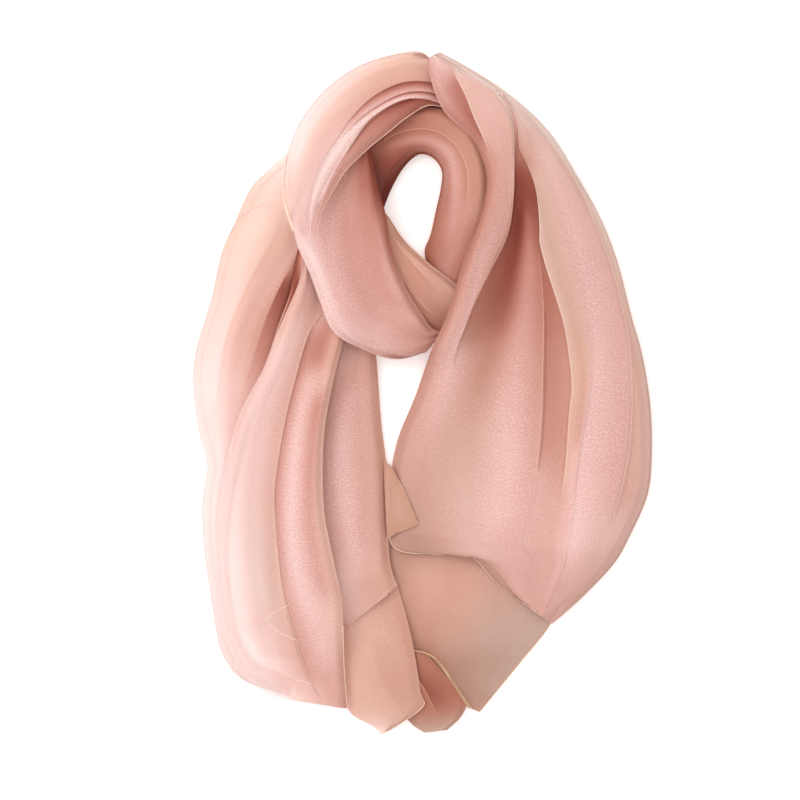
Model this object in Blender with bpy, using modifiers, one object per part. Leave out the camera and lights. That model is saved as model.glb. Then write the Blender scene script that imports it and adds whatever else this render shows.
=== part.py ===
# Organza scarf, 0.70 m by 2.00 m, looped once round itself and laid flat on a surface.
# +X is to the right and +Y towards the top of the loop; +Z is up, off the surface it lies on.
# The origin is on that surface, under the middle of the scarf.
#
# The cloth starts at the lower left and runs up under the loop, round the neck opening, back
# across the front, up over the top and down the right side. Each stretch of it that shows is one
# wall, lofted through the sections of its table. A section runs from the left edge of the stretch
# to its right edge, and the wall is laid over whatever is already under it.

import math
from collections import namedtuple

import bmesh
import bpy
import numpy
from mathutils import Vector
from mathutils.bvhtree import BVHTree

MM = 0.001

# Driving sizes
WALL = 1.4 * MM  # a few layers of organza, taken as one wall
GAP = 0.3 * MM  # between two walls that touch
ROW_STEP = 20 * MM  # along a stretch, between two sections of its loft
EDGE_RADIUS = 4.0 * MM  # of a folded edge, where the cloth turns under
EDGE_FLAP = 4.5 * MM  # what is turned under, beyond that radius
EDGE_CLEARANCE = 0.3 * MM  # under what is turned under
SPREAD = 38 * MM  # how far from an object under a wall the wall is raised by it
FULL_WIDTH = 60 * MM  # a stretch this wide or wider has folds of their full height
LAYER_COUNT = 3  # of the steps of the hidden layers
LAYER_HEIGHT = 3.5 * MM  # of each step
LAYER_INSET = 9 * MM  # of each step from the one below
LAYER_BEVEL = 1.2 * MM  # on the edges of a step

BLUSH = (0.80, 0.50, 0.45, 1.0)
PEACH = (0.87, 0.66, 0.55, 1.0)
ROSE = (0.62, 0.34, 0.28, 1.0)
ORGANZA_ROUGHNESS = 0.42

# The sizes in the tables are in millimetres. A section's rims are the heights of its two ends, and
# its rounds are how wide the curves are that rise from them. Its edges are the places of the edges
# between its folds, as shares of the way across, and its heights are those of the cloth at the left
# end, at each edge and at the right end, before the rounds bring it down to the rims.
Section = namedtuple(
    "Section",
    "left_x left_y right_x right_y left_rim right_rim left_round right_round edges heights",
)

# A fold lies between two neighbouring edges. Its rise is how far its ridge stands over them, and
# its crisp side is where it drops steeply onto the next fold.
Fold = namedtuple("Fold", "name rise crisp")

LEFT_SHEER = [
    Section(-134, 242, -104, 230, 0, 2, 10, 4, (0.25, 0.60), (4, 5, 5, 4)),
    Section(-156, 222, -108, 208, 0, 2, 14, 4, (0.25, 0.60), (6, 7, 6, 4)),
    Section(-173, 204, -112, 184, 0, 2, 16, 4, (0.25, 0.60), (8, 9, 7, 4)),
    Section(-191, 165, -114, 154, 0, 2, 18, 4, (0.22, 0.60), (9, 10, 8, 5)),
    Section(-202, 139, -120, 122, 0, 2, 20, 4, (0.22, 0.60), (10, 11, 9, 6)),
    Section(-212, 94, -130, 86, 0, 2, 20, 4, (0.20, 0.60), (10, 11, 10, 6)),
    Section(-227, 44, -140, 54, 0, 2, 22, 4, (0.20, 0.58), (11, 12, 11, 7)),
    Section(-230, 8, -148, 22, 0, 2, 22, 4, (0.22, 0.55), (11, 12, 11, 7)),
    Section(-225, -36, -168, -26, 0, 2, 20, 4, (0.28, 0.60), (11, 12, 11, 7)),
    Section(-216, -71, -182, -74, 0, 2, 16, 4, (0.35, 0.65), (10, 11, 10, 7)),
    Section(-221, -108, -190, -112, 0, 2, 16, 4, (0.35, 0.65), (10, 11, 10, 7)),
    Section(-219, -156, -194, -158, 0, 2, 16, 4, (0.35, 0.65), (10, 11, 10, 7)),
    Section(-211, -209, -190, -206, 0, 2, 14, 4, (0.35, 0.65), (10, 11, 10, 7)),
    Section(-202, -257, -182, -244, 0, 2, 14, 4, (0.35, 0.65), (9, 10, 9, 6)),
    Section(-180, -286, -166, -268, 0, 2, 12, 4, (0.35, 0.65), (8, 9, 8, 5)),
    Section(-134, -302, -128, -284, 0, 2, 10, 4, (0.35, 0.65), (5, 6, 5, 4)),
]
LEFT_SHEER_FOLDS = [
    Fold("outer edge", 2.5, "none"),
    Fold("middle", 2.5, "none"),
    Fold("inner edge", 1.0, "none"),
]

LEFT_TAIL = [
    Section(-118, 174, -68, 168, 4, 3, 8, 6, (0.50,), (12, 12, 10)),
    Section(-128, 130, -66, 120, 4, 3, 10, 6, (0.50,), (13, 13, 11)),
    Section(-133, 100, -68, 90, 4, 3, 12, 6, (0.50,), (14, 14, 12)),
    Section(-145, 66, -78, 56, 4, 3, 16, 6, (0.52,), (15, 16, 14)),
    Section(-158, 28, -88, 18, 4, 5, 20, 6, (0.49,), (17, 19, 17)),
    Section(-183, -20, -97, -28, 4, 7, 24, 6, (0.53,), (18, 21, 19)),
    Section(-199, -76, -100, -72, 4, 8, 26, 6, (0.53,), (19, 22, 20)),
    Section(-206, -120, -98, -120, 4, 8, 28, 6, (0.54,), (19, 22, 20)),
    Section(-209, -166, -89, -166, 4, 8, 28, 6, (0.54,), (19, 22, 20)),
    Section(-205, -206, -81, -206, 4, 7, 28, 6, (0.55,), (18, 21, 19)),
    Section(-197, -246, -80, -244, 4, 6, 26, 6, (0.61,), (17, 19, 17)),
    Section(-180, -280, -79, -278, 3, 5, 20, 6, (0.65,), (13, 15, 13)),
    Section(-152, -302, -76, -314, 3, 3, 12, 6, (0.66,), (7, 8, 7)),
]
LEFT_TAIL_FOLDS = [
    Fold("outer roll", 8.0, "right"),
    Fold("middle roll", 8.0, "right"),
]

LEFT_FRONT_FOLD = [
    Section(-72, 146, -44, 148, 2, 2, 6, 8, (0.50,), (6, 9, 8)),
    Section(-78, 94, -44, 96, 2, 2, 8, 10, (0.55,), (6, 10, 9)),
    Section(-90, 54, -48, 52, 2, 2, 12, 12, (0.55,), (6, 12, 11)),
    Section(-100, 16, -46, 24, 2, 2, 14, 14, (0.55,), (7, 16, 14)),
    Section(-109, -34, -42, -30, 2, 2, 14, 16, (0.50,), (7, 18, 15)),
    Section(-112, -74, -37, -72, 2, 2, 14, 18, (0.45,), (7, 18, 14)),
    Section(-110, -124, -36, -118, 2, 2, 14, 18, (0.48,), (7, 17, 13)),
    Section(-102, -166, -34, -162, 2, 2, 14, 18, (0.48,), (7, 15, 12)),
    Section(-94, -206, -31, -178, 2, 2, 12, 16, (0.48,), (6, 12, 10)),
    Section(-88, -240, -26, -192, 2, 2, 10, 14, (0.48,), (6, 9, 7)),
]
LEFT_FRONT_FOLD_FOLDS = [Fold("ridge", 5.0, "none"), Fold("inner edge", 2.0, "none")]

LEFT_END = [
    Section(-88, -186, -29, -182, 2, 2, 4, 10, (0.45,), (4, 5, 4)),
    Section(-84, -226, -16, -226, 2, 2, 4, 12, (0.45,), (5, 6, 5)),
    Section(-82, -264, -8, -264, 2, 2, 4, 12, (0.45,), (5, 7, 6)),
    Section(-79, -300, -3, -296, 2, 2, 4, 12, (0.45,), (5, 7, 6)),
    Section(-72, -320, 0, -311, 2, 2, 4, 10, (0.45,), (4, 6, 5)),
    Section(-50, -333, -20, -327, 2, 2, 4, 6, (0.45,), (3, 4, 3)),
    Section(-43, -340, -35, -337, 2, 2, 2, 2, (0.45,), (2, 2, 2)),
]
LEFT_END_FOLDS = [Fold("soft fold", 2.0, "none"), Fold("edge", 1.0, "none")]

CORNER_FLAP = [
    Section(-37, -68, -33, -72, 2, 2, 2, 2, (0.5,), (2, 3, 2)),
    Section(-35, -92, -21, -94, 2, 2, 3, 3, (0.5,), (3, 3, 3)),
    Section(-34, -116, -9, -122, 2, 2, 3, 3, (0.5,), (3, 3, 3)),
    Section(-33, -132, -7, -130, 2, 2, 3, 3, (0.5,), (3, 3, 3)),
    Section(-32, -142, -26, -138, 2, 2, 2, 2, (0.5,), (2, 2, 2)),
]
CORNER_FLAP_FOLDS = [Fold("inner half", 0.5, "none"), Fold("outer half", 0.5, "none")]

BOTTOM_FOLD = [
    Section(-52, -244, 2, -258, 2, 2, 4, 6, (0.5,), (4, 5, 4)),
    Section(-44, -284, 24, -284, 2, 2, 4, 8, (0.5,), (5, 7, 5)),
    Section(-26, -312, 42, -306, 2, 2, 4, 8, (0.5,), (5, 8, 5)),
    Section(-12, -330, 38, -322, 2, 2, 4, 6, (0.5,), (4, 6, 4)),
    Section(1, -339, 24, -336, 2, 2, 3, 4, (0.5,), (3, 3, 3)),
]
BOTTOM_FOLD_FOLDS = [Fold("roll", 3.0, "none"), Fold("edge", 1.5, "none")]

INNER_RING = [
    Section(-94, 198, -42, 178, 0, 0, 14, 12, (0.45,), (9, 10, 9)),
    Section(-88, 236, -33, 202, 0, 0, 16, 14, (0.42,), (12, 13, 12)),
    Section(-62, 264, -20, 225, 0, 0, 18, 16, (0.40,), (17, 19, 17)),
    Section(-26, 283, -5, 238, 0, 0, 18, 18, (0.40,), (21, 24, 22)),
    Section(14, 288, 9, 235, 0, 0, 18, 18, (0.40,), (22, 25, 23)),
    Section(49, 268, 18, 222, 0, 0, 18, 18, (0.42,), (22, 25, 23)),
    Section(67, 228, 17, 204, 0, 0, 18, 18, (0.45,), (22, 25, 23)),
    Section(68, 186, 13, 186, 0, 0, 18, 16, (0.45,), (20, 23, 20)),
    Section(58, 148, 7, 159, 0, 0, 16, 14, (0.45,), (15, 17, 15)),
    Section(46, 122, 1, 142, 0, 0, 12, 10, (0.45,), (9, 10, 8)),
    Section(34, 98, 5, 120, 0, 0, 8, 8, (0.45,), (5, 6, 5)),
]
INNER_RING_FOLDS = [Fold("outer roll", 3.0, "none"), Fold("rolled edge", 5.0, "none")]

LOOP_UNDERSIDE = [
    Section(-47, 188, -62, 160, 5, 5, 6, 6, (0.5,), (10, 12, 10)),
    Section(-35, 176, -52, 140, 3, 4, 8, 6, (0.5,), (13, 15, 12)),
    Section(-21, 155, -40, 116, 2, 3, 10, 6, (0.5,), (15, 17, 13)),
    Section(-4, 138, -22, 92, 2, 3, 10, 6, (0.5,), (16, 18, 14)),
    Section(12, 124, 0, 68, 2, 3, 10, 8, (0.5,), (15, 17, 13)),
    Section(34, 108, 18, 54, 2, 3, 10, 8, (0.5,), (12, 14, 10)),
]
LOOP_UNDERSIDE_FOLDS = [Fold("upper half", 2.5, "none"), Fold("lower half", 2.0, "none")]

LOOP_FRONT = [
    Section(-82, 244, -54, 246, 18, 18, 12, 10, (0.35, 0.70), (22, 24, 24, 22)),
    Section(-114, 214, -46, 209, 18, 16, 16, 12, (0.35, 0.70), (24, 27, 27, 25)),
    Section(-130, 179, -38, 179, 18, 16, 20, 14, (0.33, 0.68), (27, 31, 31, 28)),
    Section(-126, 149, -33, 149, 18, 18, 24, 16, (0.32, 0.66), (31, 35, 34, 30)),
    Section(-113, 119, -25, 122, 19, 18, 26, 16, (0.30, 0.66), (33, 37, 35, 31)),
    Section(-102, 89, -13, 96, 19, 18, 26, 16, (0.30, 0.66), (33, 37, 35, 31)),
    Section(-90, 62, 0, 76, 17, 17, 26, 16, (0.32, 0.66), (31, 35, 34, 30)),
    Section(-68, 47, 6, 67, 13, 14, 24, 14, (0.34, 0.68), (27, 31, 30, 26)),
    Section(-30, 34, 14, 62, 5, 11, 20, 12, (0.36, 0.70), (20, 24, 23, 20)),
    Section(2, 41, 24, 66, 3, 7, 12, 8, (0.38, 0.70), (12, 14, 14, 12)),
]
LOOP_FRONT_FOLDS = [
    Fold("left edge", 4.0, "none"),
    Fold("middle", 3.0, "none"),
    Fold("right edge", 3.5, "none"),
]

LOOP_TOP = [
    Section(16, 322, 26, 282, 2, 14, 14, 6, (0.46, 0.66, 0.84), (16, 20, 20, 19, 18)),
    Section(-2, 340, 5, 285, 2, 20, 18, 6, (0.46, 0.66, 0.84), (22, 27, 27, 26, 25)),
    Section(-36, 337, -15, 274, 2, 26, 20, 6, (0.46, 0.64, 0.82), (29, 34, 34, 33, 31)),
    Section(-74, 322, -34, 259, 2, 28, 22, 6, (0.47, 0.62, 0.78), (34, 40, 40, 38, 35)),
    Section(-108, 293, -56, 241, 2, 32, 24, 6, (0.50, 0.64, 0.80), (38, 45, 45, 43, 40)),
    Section(-130, 256, -77, 220, 3, 35, 26, 6, (0.52, 0.68, 0.84), (40, 48, 48, 46, 43)),
    Section(-139, 220, -91, 198, 4, 37, 26, 6, (0.48, 0.68, 0.86), (41, 49, 49, 48, 45)),
    Section(-138, 190, -99, 180, 8, 38, 24, 6, (0.44, 0.66, 0.86), (41, 49, 49, 48, 46)),
    Section(-130, 164, -104, 160, 12, 38, 20, 6, (0.42, 0.66, 0.86), (40, 47, 47, 47, 45)),
    Section(-120, 138, -106, 138, 18, 36, 10, 4, (0.42, 0.66, 0.86), (38, 42, 42, 42, 41)),
]
LOOP_TOP_FOLDS = [
    Fold("outer roll", 5.0, "none"),
    Fold("first pleat", 4.0, "left"),
    Fold("second pleat", 4.0, "left"),
    Fold("third pleat", 4.0, "left"),
]

RIGHT_TAIL = [
    Section(3, 330, 16, 339, 4, 0, 4, 8, (0.46, 0.62, 0.74, 0.86), (14, 18, 18, 17, 16, 14)),
    Section(10, 300, 47, 323, 20, 0, 10, 16, (0.44, 0.62, 0.74, 0.90), (28, 34, 34, 32, 30, 27)),
    Section(22, 276, 88, 296, 26, 0, 12, 26, (0.26, 0.62, 0.72, 0.92), (36, 42, 40, 38, 33, 30)),
    Section(50, 248, 126, 260, 27, 0, 12, 34, (0.14, 0.46, 0.60, 0.92), (38, 44, 42, 39, 33, 29)),
    Section(62, 212, 156, 212, 24, 0, 14, 38, (0.10, 0.30, 0.42, 0.92), (38, 43, 38, 38, 32, 27)),
    Section(55, 175, 177, 174, 18, 0, 16, 40, (0.08, 0.28, 0.45, 0.92), (36, 40, 33, 36, 31, 26)),
    Section(40, 135, 194, 130, 10, 0, 18, 40, (0.08, 0.25, 0.53, 0.93), (30, 36, 27, 34, 30, 25)),
    Section(24, 80, 208, 75, 4, 0, 20, 40, (0.08, 0.22, 0.61, 0.94), (23, 31, 22, 31, 29, 24)),
    Section(8, 44, 218, 40, 2, 0, 20, 40, (0.08, 0.20, 0.65, 0.94), (18, 26, 20, 29, 28, 23)),
    Section(-8, -2, 226, -8, 2, 0, 20, 40, (0.08, 0.18, 0.66, 0.94), (12, 20, 18, 28, 27, 23)),
    Section(-27, -50, 228, -56, 2, 0, 18, 40, (0.08, 0.18, 0.66, 0.94), (8, 13, 15, 26, 26, 22)),
    Section(-34, -100, 224, -100, 3, 0, 16, 40, (0.10, 0.24, 0.66, 0.94), (6, 9, 13, 24, 24, 20)),
    Section(-31, -152, 206, -142, 5, 0, 10, 38, (0.14, 0.30, 0.68, 0.94), (7, 9, 13, 21, 21, 18)),
    Section(10, -160, 190, -170, 5, 0, 8, 34, (0.14, 0.30, 0.66, 0.93), (8, 10, 14, 18, 18, 15)),
    Section(46, -162, 162, -200, 5, 0, 8, 26, (0.12, 0.30, 0.62, 0.92), (8, 10, 13, 14, 14, 12)),
    Section(74, -190, 140, -220, 5, 4, 6, 16, (0.15, 0.30, 0.60, 0.90), (7, 8, 9, 10, 9, 8)),
    Section(96, -206, 128, -230, 5, 6, 4, 6, (0.15, 0.30, 0.60, 0.90), (6, 6, 6, 6, 6, 5)),
]
RIGHT_TAIL_FOLDS = [
    Fold("left strip", 2.0, "none"),
    Fold("left roll", 7.0, "right"),
    Fold("second roll", 6.0, "none"),
    Fold("main roll", 8.0, "left"),
    Fold("outer edge", 1.5, "none"),
]

RIGHT_END = [
    Section(-32, -138, 144, -158, 2, 2, 4, 10, (0.20, 0.60), (3, 4, 4, 3)),
    Section(-44, -172, 146, -184, 2, 2, 4, 10, (0.20, 0.60), (3, 4, 4, 3)),
    Section(-44, -206, 134, -208, 2, 2, 4, 10, (0.18, 0.55), (3, 4, 4, 3)),
    Section(-36, -238, 125, -233, 2, 2, 4, 6, (0.18, 0.55), (3, 4, 4, 3)),
    Section(-18, -268, 97, -268, 2, 2, 4, 4, (0.20, 0.55), (3, 4, 4, 3)),
    Section(14, -290, 74, -296, 2, 2, 4, 4, (0.25, 0.60), (3, 4, 4, 3)),
    Section(44, -313, 56, -318, 2, 2, 2, 2, (0.30, 0.60), (2, 2, 2, 2)),
]
RIGHT_END_FOLDS = [
    Fold("soft fold", 2.0, "none"),
    Fold("flat part", 0.5, "none"),
    Fold("hem edge", 0.5, "none"),
]

# Outlines of the hidden layers, in millimetres
Corner = namedtuple("Corner", "x y")

HIDDEN_OUTLINE = [
    Corner(-26, 316), Corner(14, 314), Corner(54, 291), Corner(94, 258), Corner(130, 222),
    Corner(158, 176), Corner(176, 130), Corner(192, 76), Corner(208, 30), Corner(214, -36),
    Corner(208, -84), Corner(188, -122), Corner(150, -140), Corner(100, -138), Corner(62, -110),
    Corner(42, -60), Corner(34, -10), Corner(34, 34), Corner(26, 60), Corner(4, 58),
    Corner(-28, 52), Corner(-56, 40), Corner(-60, 0), Corner(-54, -50), Corner(-50, -110),
    Corner(-54, -146), Corner(-72, -186), Corner(-98, -236), Corner(-114, -270), Corner(-134, -282),
    Corner(-172, -262), Corner(-194, -222), Corner(-203, -166), Corner(-204, -108), Corner(-201, -62),
    Corner(-210, -20), Corner(-212, 20), Corner(-208, 50), Corner(-194, 96), Corner(-182, 144),
    Corner(-160, 190), Corner(-130, 222), Corner(-116, 264), Corner(-88, 291), Corner(-60, 307),
]
HIDDEN_NECK = [
    Corner(1, 255), Corner(24, 248), Corner(34, 226), Corner(32, 196), Corner(26, 162),
    Corner(22, 128), Corner(4, 104), Corner(-28, 132), Corner(-52, 160), Corner(-60, 188),
    Corner(-52, 216), Corner(-30, 243),
]

BEFORE_RIDGE = 0.64  # the share of a crisp fold that rises gently to its ridge
GENTLE_STEPS = (0.0, 0.25, 0.5, 0.75)
CRISP_STEPS = (0.0, 0.22, 0.45, 0.66, 0.86, 0.97)
CORNER_TURN = math.radians(45)  # the middle of a turned-under edge
SAMPLES = (0.0, 0.25, 0.5, 0.75, 1.0)  # across each facet of a wall that is laid, both ways
NEAR_PLACES = ((0, 0), (1, 0), (-1, 0), (0, 1), (0, -1))
LAYING_STEP = 0.12 * MM  # how much higher a wall is tried when it isn't clear
LAYING_TRIES = 40


def curve_value(values, place):
    """The value at place (0 at the first, 1 at the second) on a smooth curve through the values."""
    last = len(values) - 1
    i = min(int(place), last - 1)
    t = place - i
    a = values[max(i - 1, 0)]
    b = values[i]
    c = values[i + 1]
    d = values[min(i + 2, last)]
    return b + 0.5 * t * (c - a + t * (2 * a - 5 * b + 4 * c - d + t * (3 * (b - c) + d - a)))


def blended(sections, place):
    """The section at place between those of the table, in metres."""
    sizes = [
        curve_value([getattr(s, size) * MM for s in sections], place)
        for size in Section._fields[:8]
    ]
    edges = [
        curve_value([s.edges[k] for s in sections], place)
        for k in range(len(sections[0].edges))
    ]
    heights = [
        curve_value([s.heights[k] * MM for s in sections], place)
        for k in range(len(sections[0].heights))
    ]
    return Section(*sizes, (0.0, *edges, 1.0), heights)


def fold_share(t, crisp):
    """How high a fold stands at t across it, from 0 at its edges to 1 at its ridge."""
    if crisp == "none":
        return math.sin(math.pi * t) ** 2
    if crisp == "left":
        t = 1 - t
    if t < BEFORE_RIDGE:
        return 0.5 - 0.5 * math.cos(math.pi * t / BEFORE_RIDGE)
    return math.sqrt(max(0.0, 1 - ((t - BEFORE_RIDGE) / (1 - BEFORE_RIDGE)) ** 2))


def rounding(distance, width):
    """How far up a rounded edge the cloth is, at this distance in from it."""
    if distance >= width:
        return 1.0
    return math.sqrt(max(0.0, 1 - (1 - distance / width) ** 2))


def line_height(section, k, t):
    """The height of the cloth at t across its fold k, without the fold and the rounded edges."""
    ease = t * t * (3 - 2 * t)
    return section.heights[k] + (section.heights[k + 1] - section.heights[k]) * ease


def fold_steps(crisp, is_last):
    """Where across a fold the wall has points."""
    steps = GENTLE_STEPS if crisp == "none" else CRISP_STEPS
    if crisp == "left":
        steps = (0.0, *(1 - t for t in reversed(steps[1:])))
    return (*steps, 1.0) if is_last else steps


def section_points(section, folds, tucked):
    """One section of a wall's outer side, from its left rim over the top to its right rim."""
    left = Vector((section.left_x, section.left_y, 0))
    right = Vector((section.right_x, section.right_y, 0))
    width = (right - left).length
    across = (right - left) / width
    radius = min(EDGE_RADIUS, width * 0.15)
    flap = min(EDGE_FLAP, width * 0.15)
    turn_in = radius * (1 - math.sin(CORNER_TURN))
    turn_up = Vector((0, 0, radius * (1 - math.cos(CORNER_TURN))))
    left_foot = left + Vector((0, 0, section.left_rim + EDGE_CLEARANCE))
    right_foot = right + Vector((0, 0, section.right_rim + EDGE_CLEARANCE))
    left_rim = section.left_rim + (radius if "left" in tucked else 0)
    right_rim = section.right_rim + (radius if "right" in tucked else 0)
    points = []
    if "left" in tucked:
        points.append(left_foot + across * (radius + flap))
        points.append(left_foot + across * radius)
        points.append(left_foot + across * turn_in + turn_up)
    for k, fold in enumerate(folds):
        start, end = section.edges[k], section.edges[k + 1]
        for t in fold_steps(fold.crisp, k == len(folds) - 1):
            share = start + (end - start) * t
            rim = left_rim + (right_rim - left_rim) * share
            full = rounding(width * share, min(section.left_round, width / 2))
            full *= rounding(width * (1 - share), min(section.right_round, width / 2))
            rise = fold.rise * MM * fold_share(t, fold.crisp) * min(1.0, width / FULL_WIDTH)
            height = rim + (line_height(section, k, t) + rise - rim) * full
            points.append(left + across * width * share + Vector((0, 0, height)))
    if "right" in tucked:
        points.append(right_foot - across * turn_in + turn_up)
        points.append(right_foot - across * radius)
        points.append(right_foot - across * (radius + flap))
    return points


def surface_of(objects):
    """The points of the objects, and a tree of their faces to measure to."""
    bpy.context.view_layer.update()
    graph = bpy.context.evaluated_depsgraph_get()
    points = []
    faces = []
    for obj in objects:
        mesh = obj.evaluated_get(graph).to_mesh()
        first = len(points)
        points += [v.co.copy() for v in mesh.vertices]
        faces += [[first + v for v in p.vertices] for p in mesh.polygons]
    return points, BVHTree.FromPolygons(points, faces)


def support(tree, x, y):
    """The height of the highest thing within a wall's thickness of a place, seen from above."""
    heights = [-1.0]
    for step_x, step_y in NEAR_PLACES:
        above = Vector((x + step_x * WALL, y + step_y * WALL, 1))
        hit = tree.ray_cast(above, Vector((0, 0, -1)))[0]
        if hit is not None:
            heights.append(hit.z)
    return max(heights)


def places_held(rows, tree, tucks):
    """For places all over the rows: x, y, height over what is under them, and their corners."""
    across = len(rows[0])
    places = []
    for i in range(len(rows) - 1):
        for k in range(tucks[0], across - 1 - tucks[1]):
            first = i * across + k
            corners = (first, first + 1, first + across, first + across + 1)
            for u in SAMPLES:
                for v in SAMPLES:
                    low = rows[i][k].lerp(rows[i][k + 1], v)
                    high = rows[i + 1][k].lerp(rows[i + 1][k + 1], v)
                    x, y, z = low.lerp(high, u)
                    places.append((x, y, z - support(tree, x, y), *corners))
    return numpy.array(places)


def raised(rows, places, clearance, tucks):
    """The rows, raised smoothly until every place is that far over what is under it."""
    points = numpy.array([tuple(p) for row in rows for p in row])
    lift = numpy.zeros(len(points))
    places = places[places[:, 2] < clearance]
    need = clearance - places[:, 2]
    for column in range(3, 7):
        numpy.maximum.at(lift, places[:, column].astype(int), need)
    if len(need):
        for n, (x, y, _) in enumerate(points):
            away = ((places[:, 0] - x) ** 2 + (places[:, 1] - y) ** 2) / SPREAD**2
            lift[n] = max(lift[n], (need * numpy.clip(1 - away, 0, 1) ** 2).max())
    across = len(rows[0])
    lift = lift.reshape(len(rows), across)
    lift[:, :tucks[0]] = 0
    lift[:, across - tucks[1]:] = 0
    points[:, 2] += lift.reshape(-1)
    return [[Vector(p) for p in points[i:i + across]] for i in range(0, len(points), across)]


def is_clear(wall, points, tree):
    """Whether a wall is a gap or more away from other objects all over."""
    wall_points, wall_tree = surface_of((wall,))
    if wall_tree.overlap(tree):
        return False
    near = any(tree.find_nearest(p, GAP)[0] is not None for p in wall_points)
    return not near and not any(wall_tree.find_nearest(p, GAP)[0] is not None for p in points)


def material(name, colour):
    made = bpy.data.materials.new(name)
    made.use_nodes = True
    shader = made.node_tree.nodes["Principled BSDF"]
    shader.inputs["Base Color"].default_value = colour
    shader.inputs["Roughness"].default_value = ORGANZA_ROUGHNESS
    shader.inputs["Metallic"].default_value = 0.0
    return made


def walled(name, rows, finish, collection):
    """A wall of cloth whose outer side goes through the rows."""
    across = len(rows[0])
    points = [p for row in rows for p in row]
    faces = [
        (i * across + k, (i + 1) * across + k, (i + 1) * across + k + 1, i * across + k + 1)
        for i in range(len(rows) - 1)
        for k in range(across - 1)
    ]
    mesh = bpy.data.meshes.new(name)
    mesh.from_pydata(points, [], faces)
    if sum(p.normal.z * p.area for p in mesh.polygons) < 0:
        mesh.flip_normals()
    mesh.materials.append(finish)
    mesh.shade_smooth()
    wall = bpy.data.objects.new(name, mesh)
    collection.objects.link(wall)
    solid = wall.modifiers.new("wall", "SOLIDIFY")
    solid.thickness = WALL
    solid.offset = -1
    return wall


def path_length(sections):
    """The length of a stretch along its middle."""
    middles = [((s.left_x + s.right_x) / 2, (s.left_y + s.right_y) / 2) for s in sections]
    return sum(math.dist(a, b) for a, b in zip(middles, middles[1:])) * MM


def stretch(name, sections, folds, finish, collection, tucked, on):
    """One stretch of the cloth, laid as close as it goes on the objects under it."""
    count = max(5, round(path_length(sections) / ROW_STEP))
    last = len(sections) - 1
    rows = [
        section_points(blended(sections, i / count * last), folds, tucked)
        for i in range(count + 1)
    ]
    tucks = (3 if "left" in tucked else 0, 3 if "right" in tucked else 0)
    points, tree = surface_of(on)
    places = places_held(rows, tree, tucks)
    for n in range(LAYING_TRIES):
        clearance = WALL + GAP + n * LAYING_STEP
        wall = walled(name, raised(rows, places, clearance, tucks), finish, collection)
        if is_clear(wall, points, tree):
            return wall
        bpy.data.objects.remove(wall)
    raise RuntimeError(f"{name} isn't clear of what it is laid on")


def moved_in(corners, distance):
    """A closed outline, moved by a distance to the left of the way it runs."""
    moved = []
    for i, corner in enumerate(corners):
        before = corners[i - 1]
        after = corners[(i + 1) % len(corners)]
        along = Vector((after.x - before.x, after.y - before.y)).normalized()
        moved.append(Corner(corner.x - along.y * distance, corner.y + along.x * distance))
    return moved


def slab(name, outlines, bottom, top, collection):
    """A slab with rounded edges between two heights, of an outline and the holes in it."""
    curve = bpy.data.curves.new(name, "CURVE")
    curve.dimensions = "2D"
    curve.fill_mode = "BOTH"
    for outline in outlines:
        spline = curve.splines.new("BEZIER")
        spline.bezier_points.add(len(outline) - 1)
        for point, corner in zip(spline.bezier_points, outline):
            point.co = (corner.x * MM, corner.y * MM, 0)
            point.handle_left_type = "AUTO"
            point.handle_right_type = "AUTO"
        spline.use_cyclic_u = True
    curve.resolution_u = 2
    curve.extrude = (top - bottom) / 2 - LAYER_BEVEL
    curve.bevel_depth = LAYER_BEVEL
    curve.bevel_resolution = 0
    curve.offset = -LAYER_BEVEL
    drawn = bpy.data.objects.new(name + " outline", curve)
    collection.objects.link(drawn)
    drawn.location.z = (top + bottom) / 2
    bpy.context.view_layer.update()
    graph = bpy.context.evaluated_depsgraph_get()
    mesh = bpy.data.meshes.new_from_object(drawn.evaluated_get(graph))
    mesh.transform(drawn.matrix_world)
    bpy.data.objects.remove(drawn)
    work = bmesh.new()
    work.from_mesh(mesh)
    bmesh.ops.remove_doubles(work, verts=work.verts, dist=0.01 * MM)
    bmesh.ops.recalc_face_normals(work, faces=work.faces)
    work.to_mesh(mesh)
    work.free()
    made = bpy.data.objects.new(name, mesh)
    collection.objects.link(made)
    return made


def hidden_layers(finish, collection, cutters):
    """The layers of cloth that don't show, as one solid that steps in towards its top."""
    steps = []
    for k in range(LAYER_COUNT):
        inset = k * LAYER_INSET / MM
        outlines = [
            moved_in(HIDDEN_OUTLINE, -inset),
            moved_in(HIDDEN_NECK, inset),
        ]
        bottom = max(0.0, (k - 0.5) * LAYER_HEIGHT)
        place = cutters if k else collection
        steps.append(slab(f"hidden layer {k + 1}", outlines, bottom, (k + 1) * LAYER_HEIGHT, place))
    base = steps[0]
    for step in steps[1:]:
        step.hide_render = True
        step.display_type = "WIRE"
        joined = base.modifiers.new(step.name, "BOOLEAN")
        joined.operation = "UNION"
        joined.solver = "EXACT"
        joined.object = step
    base.name = "under_layers"
    base.data.materials.clear()
    base.data.materials.append(finish)
    return base


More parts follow.
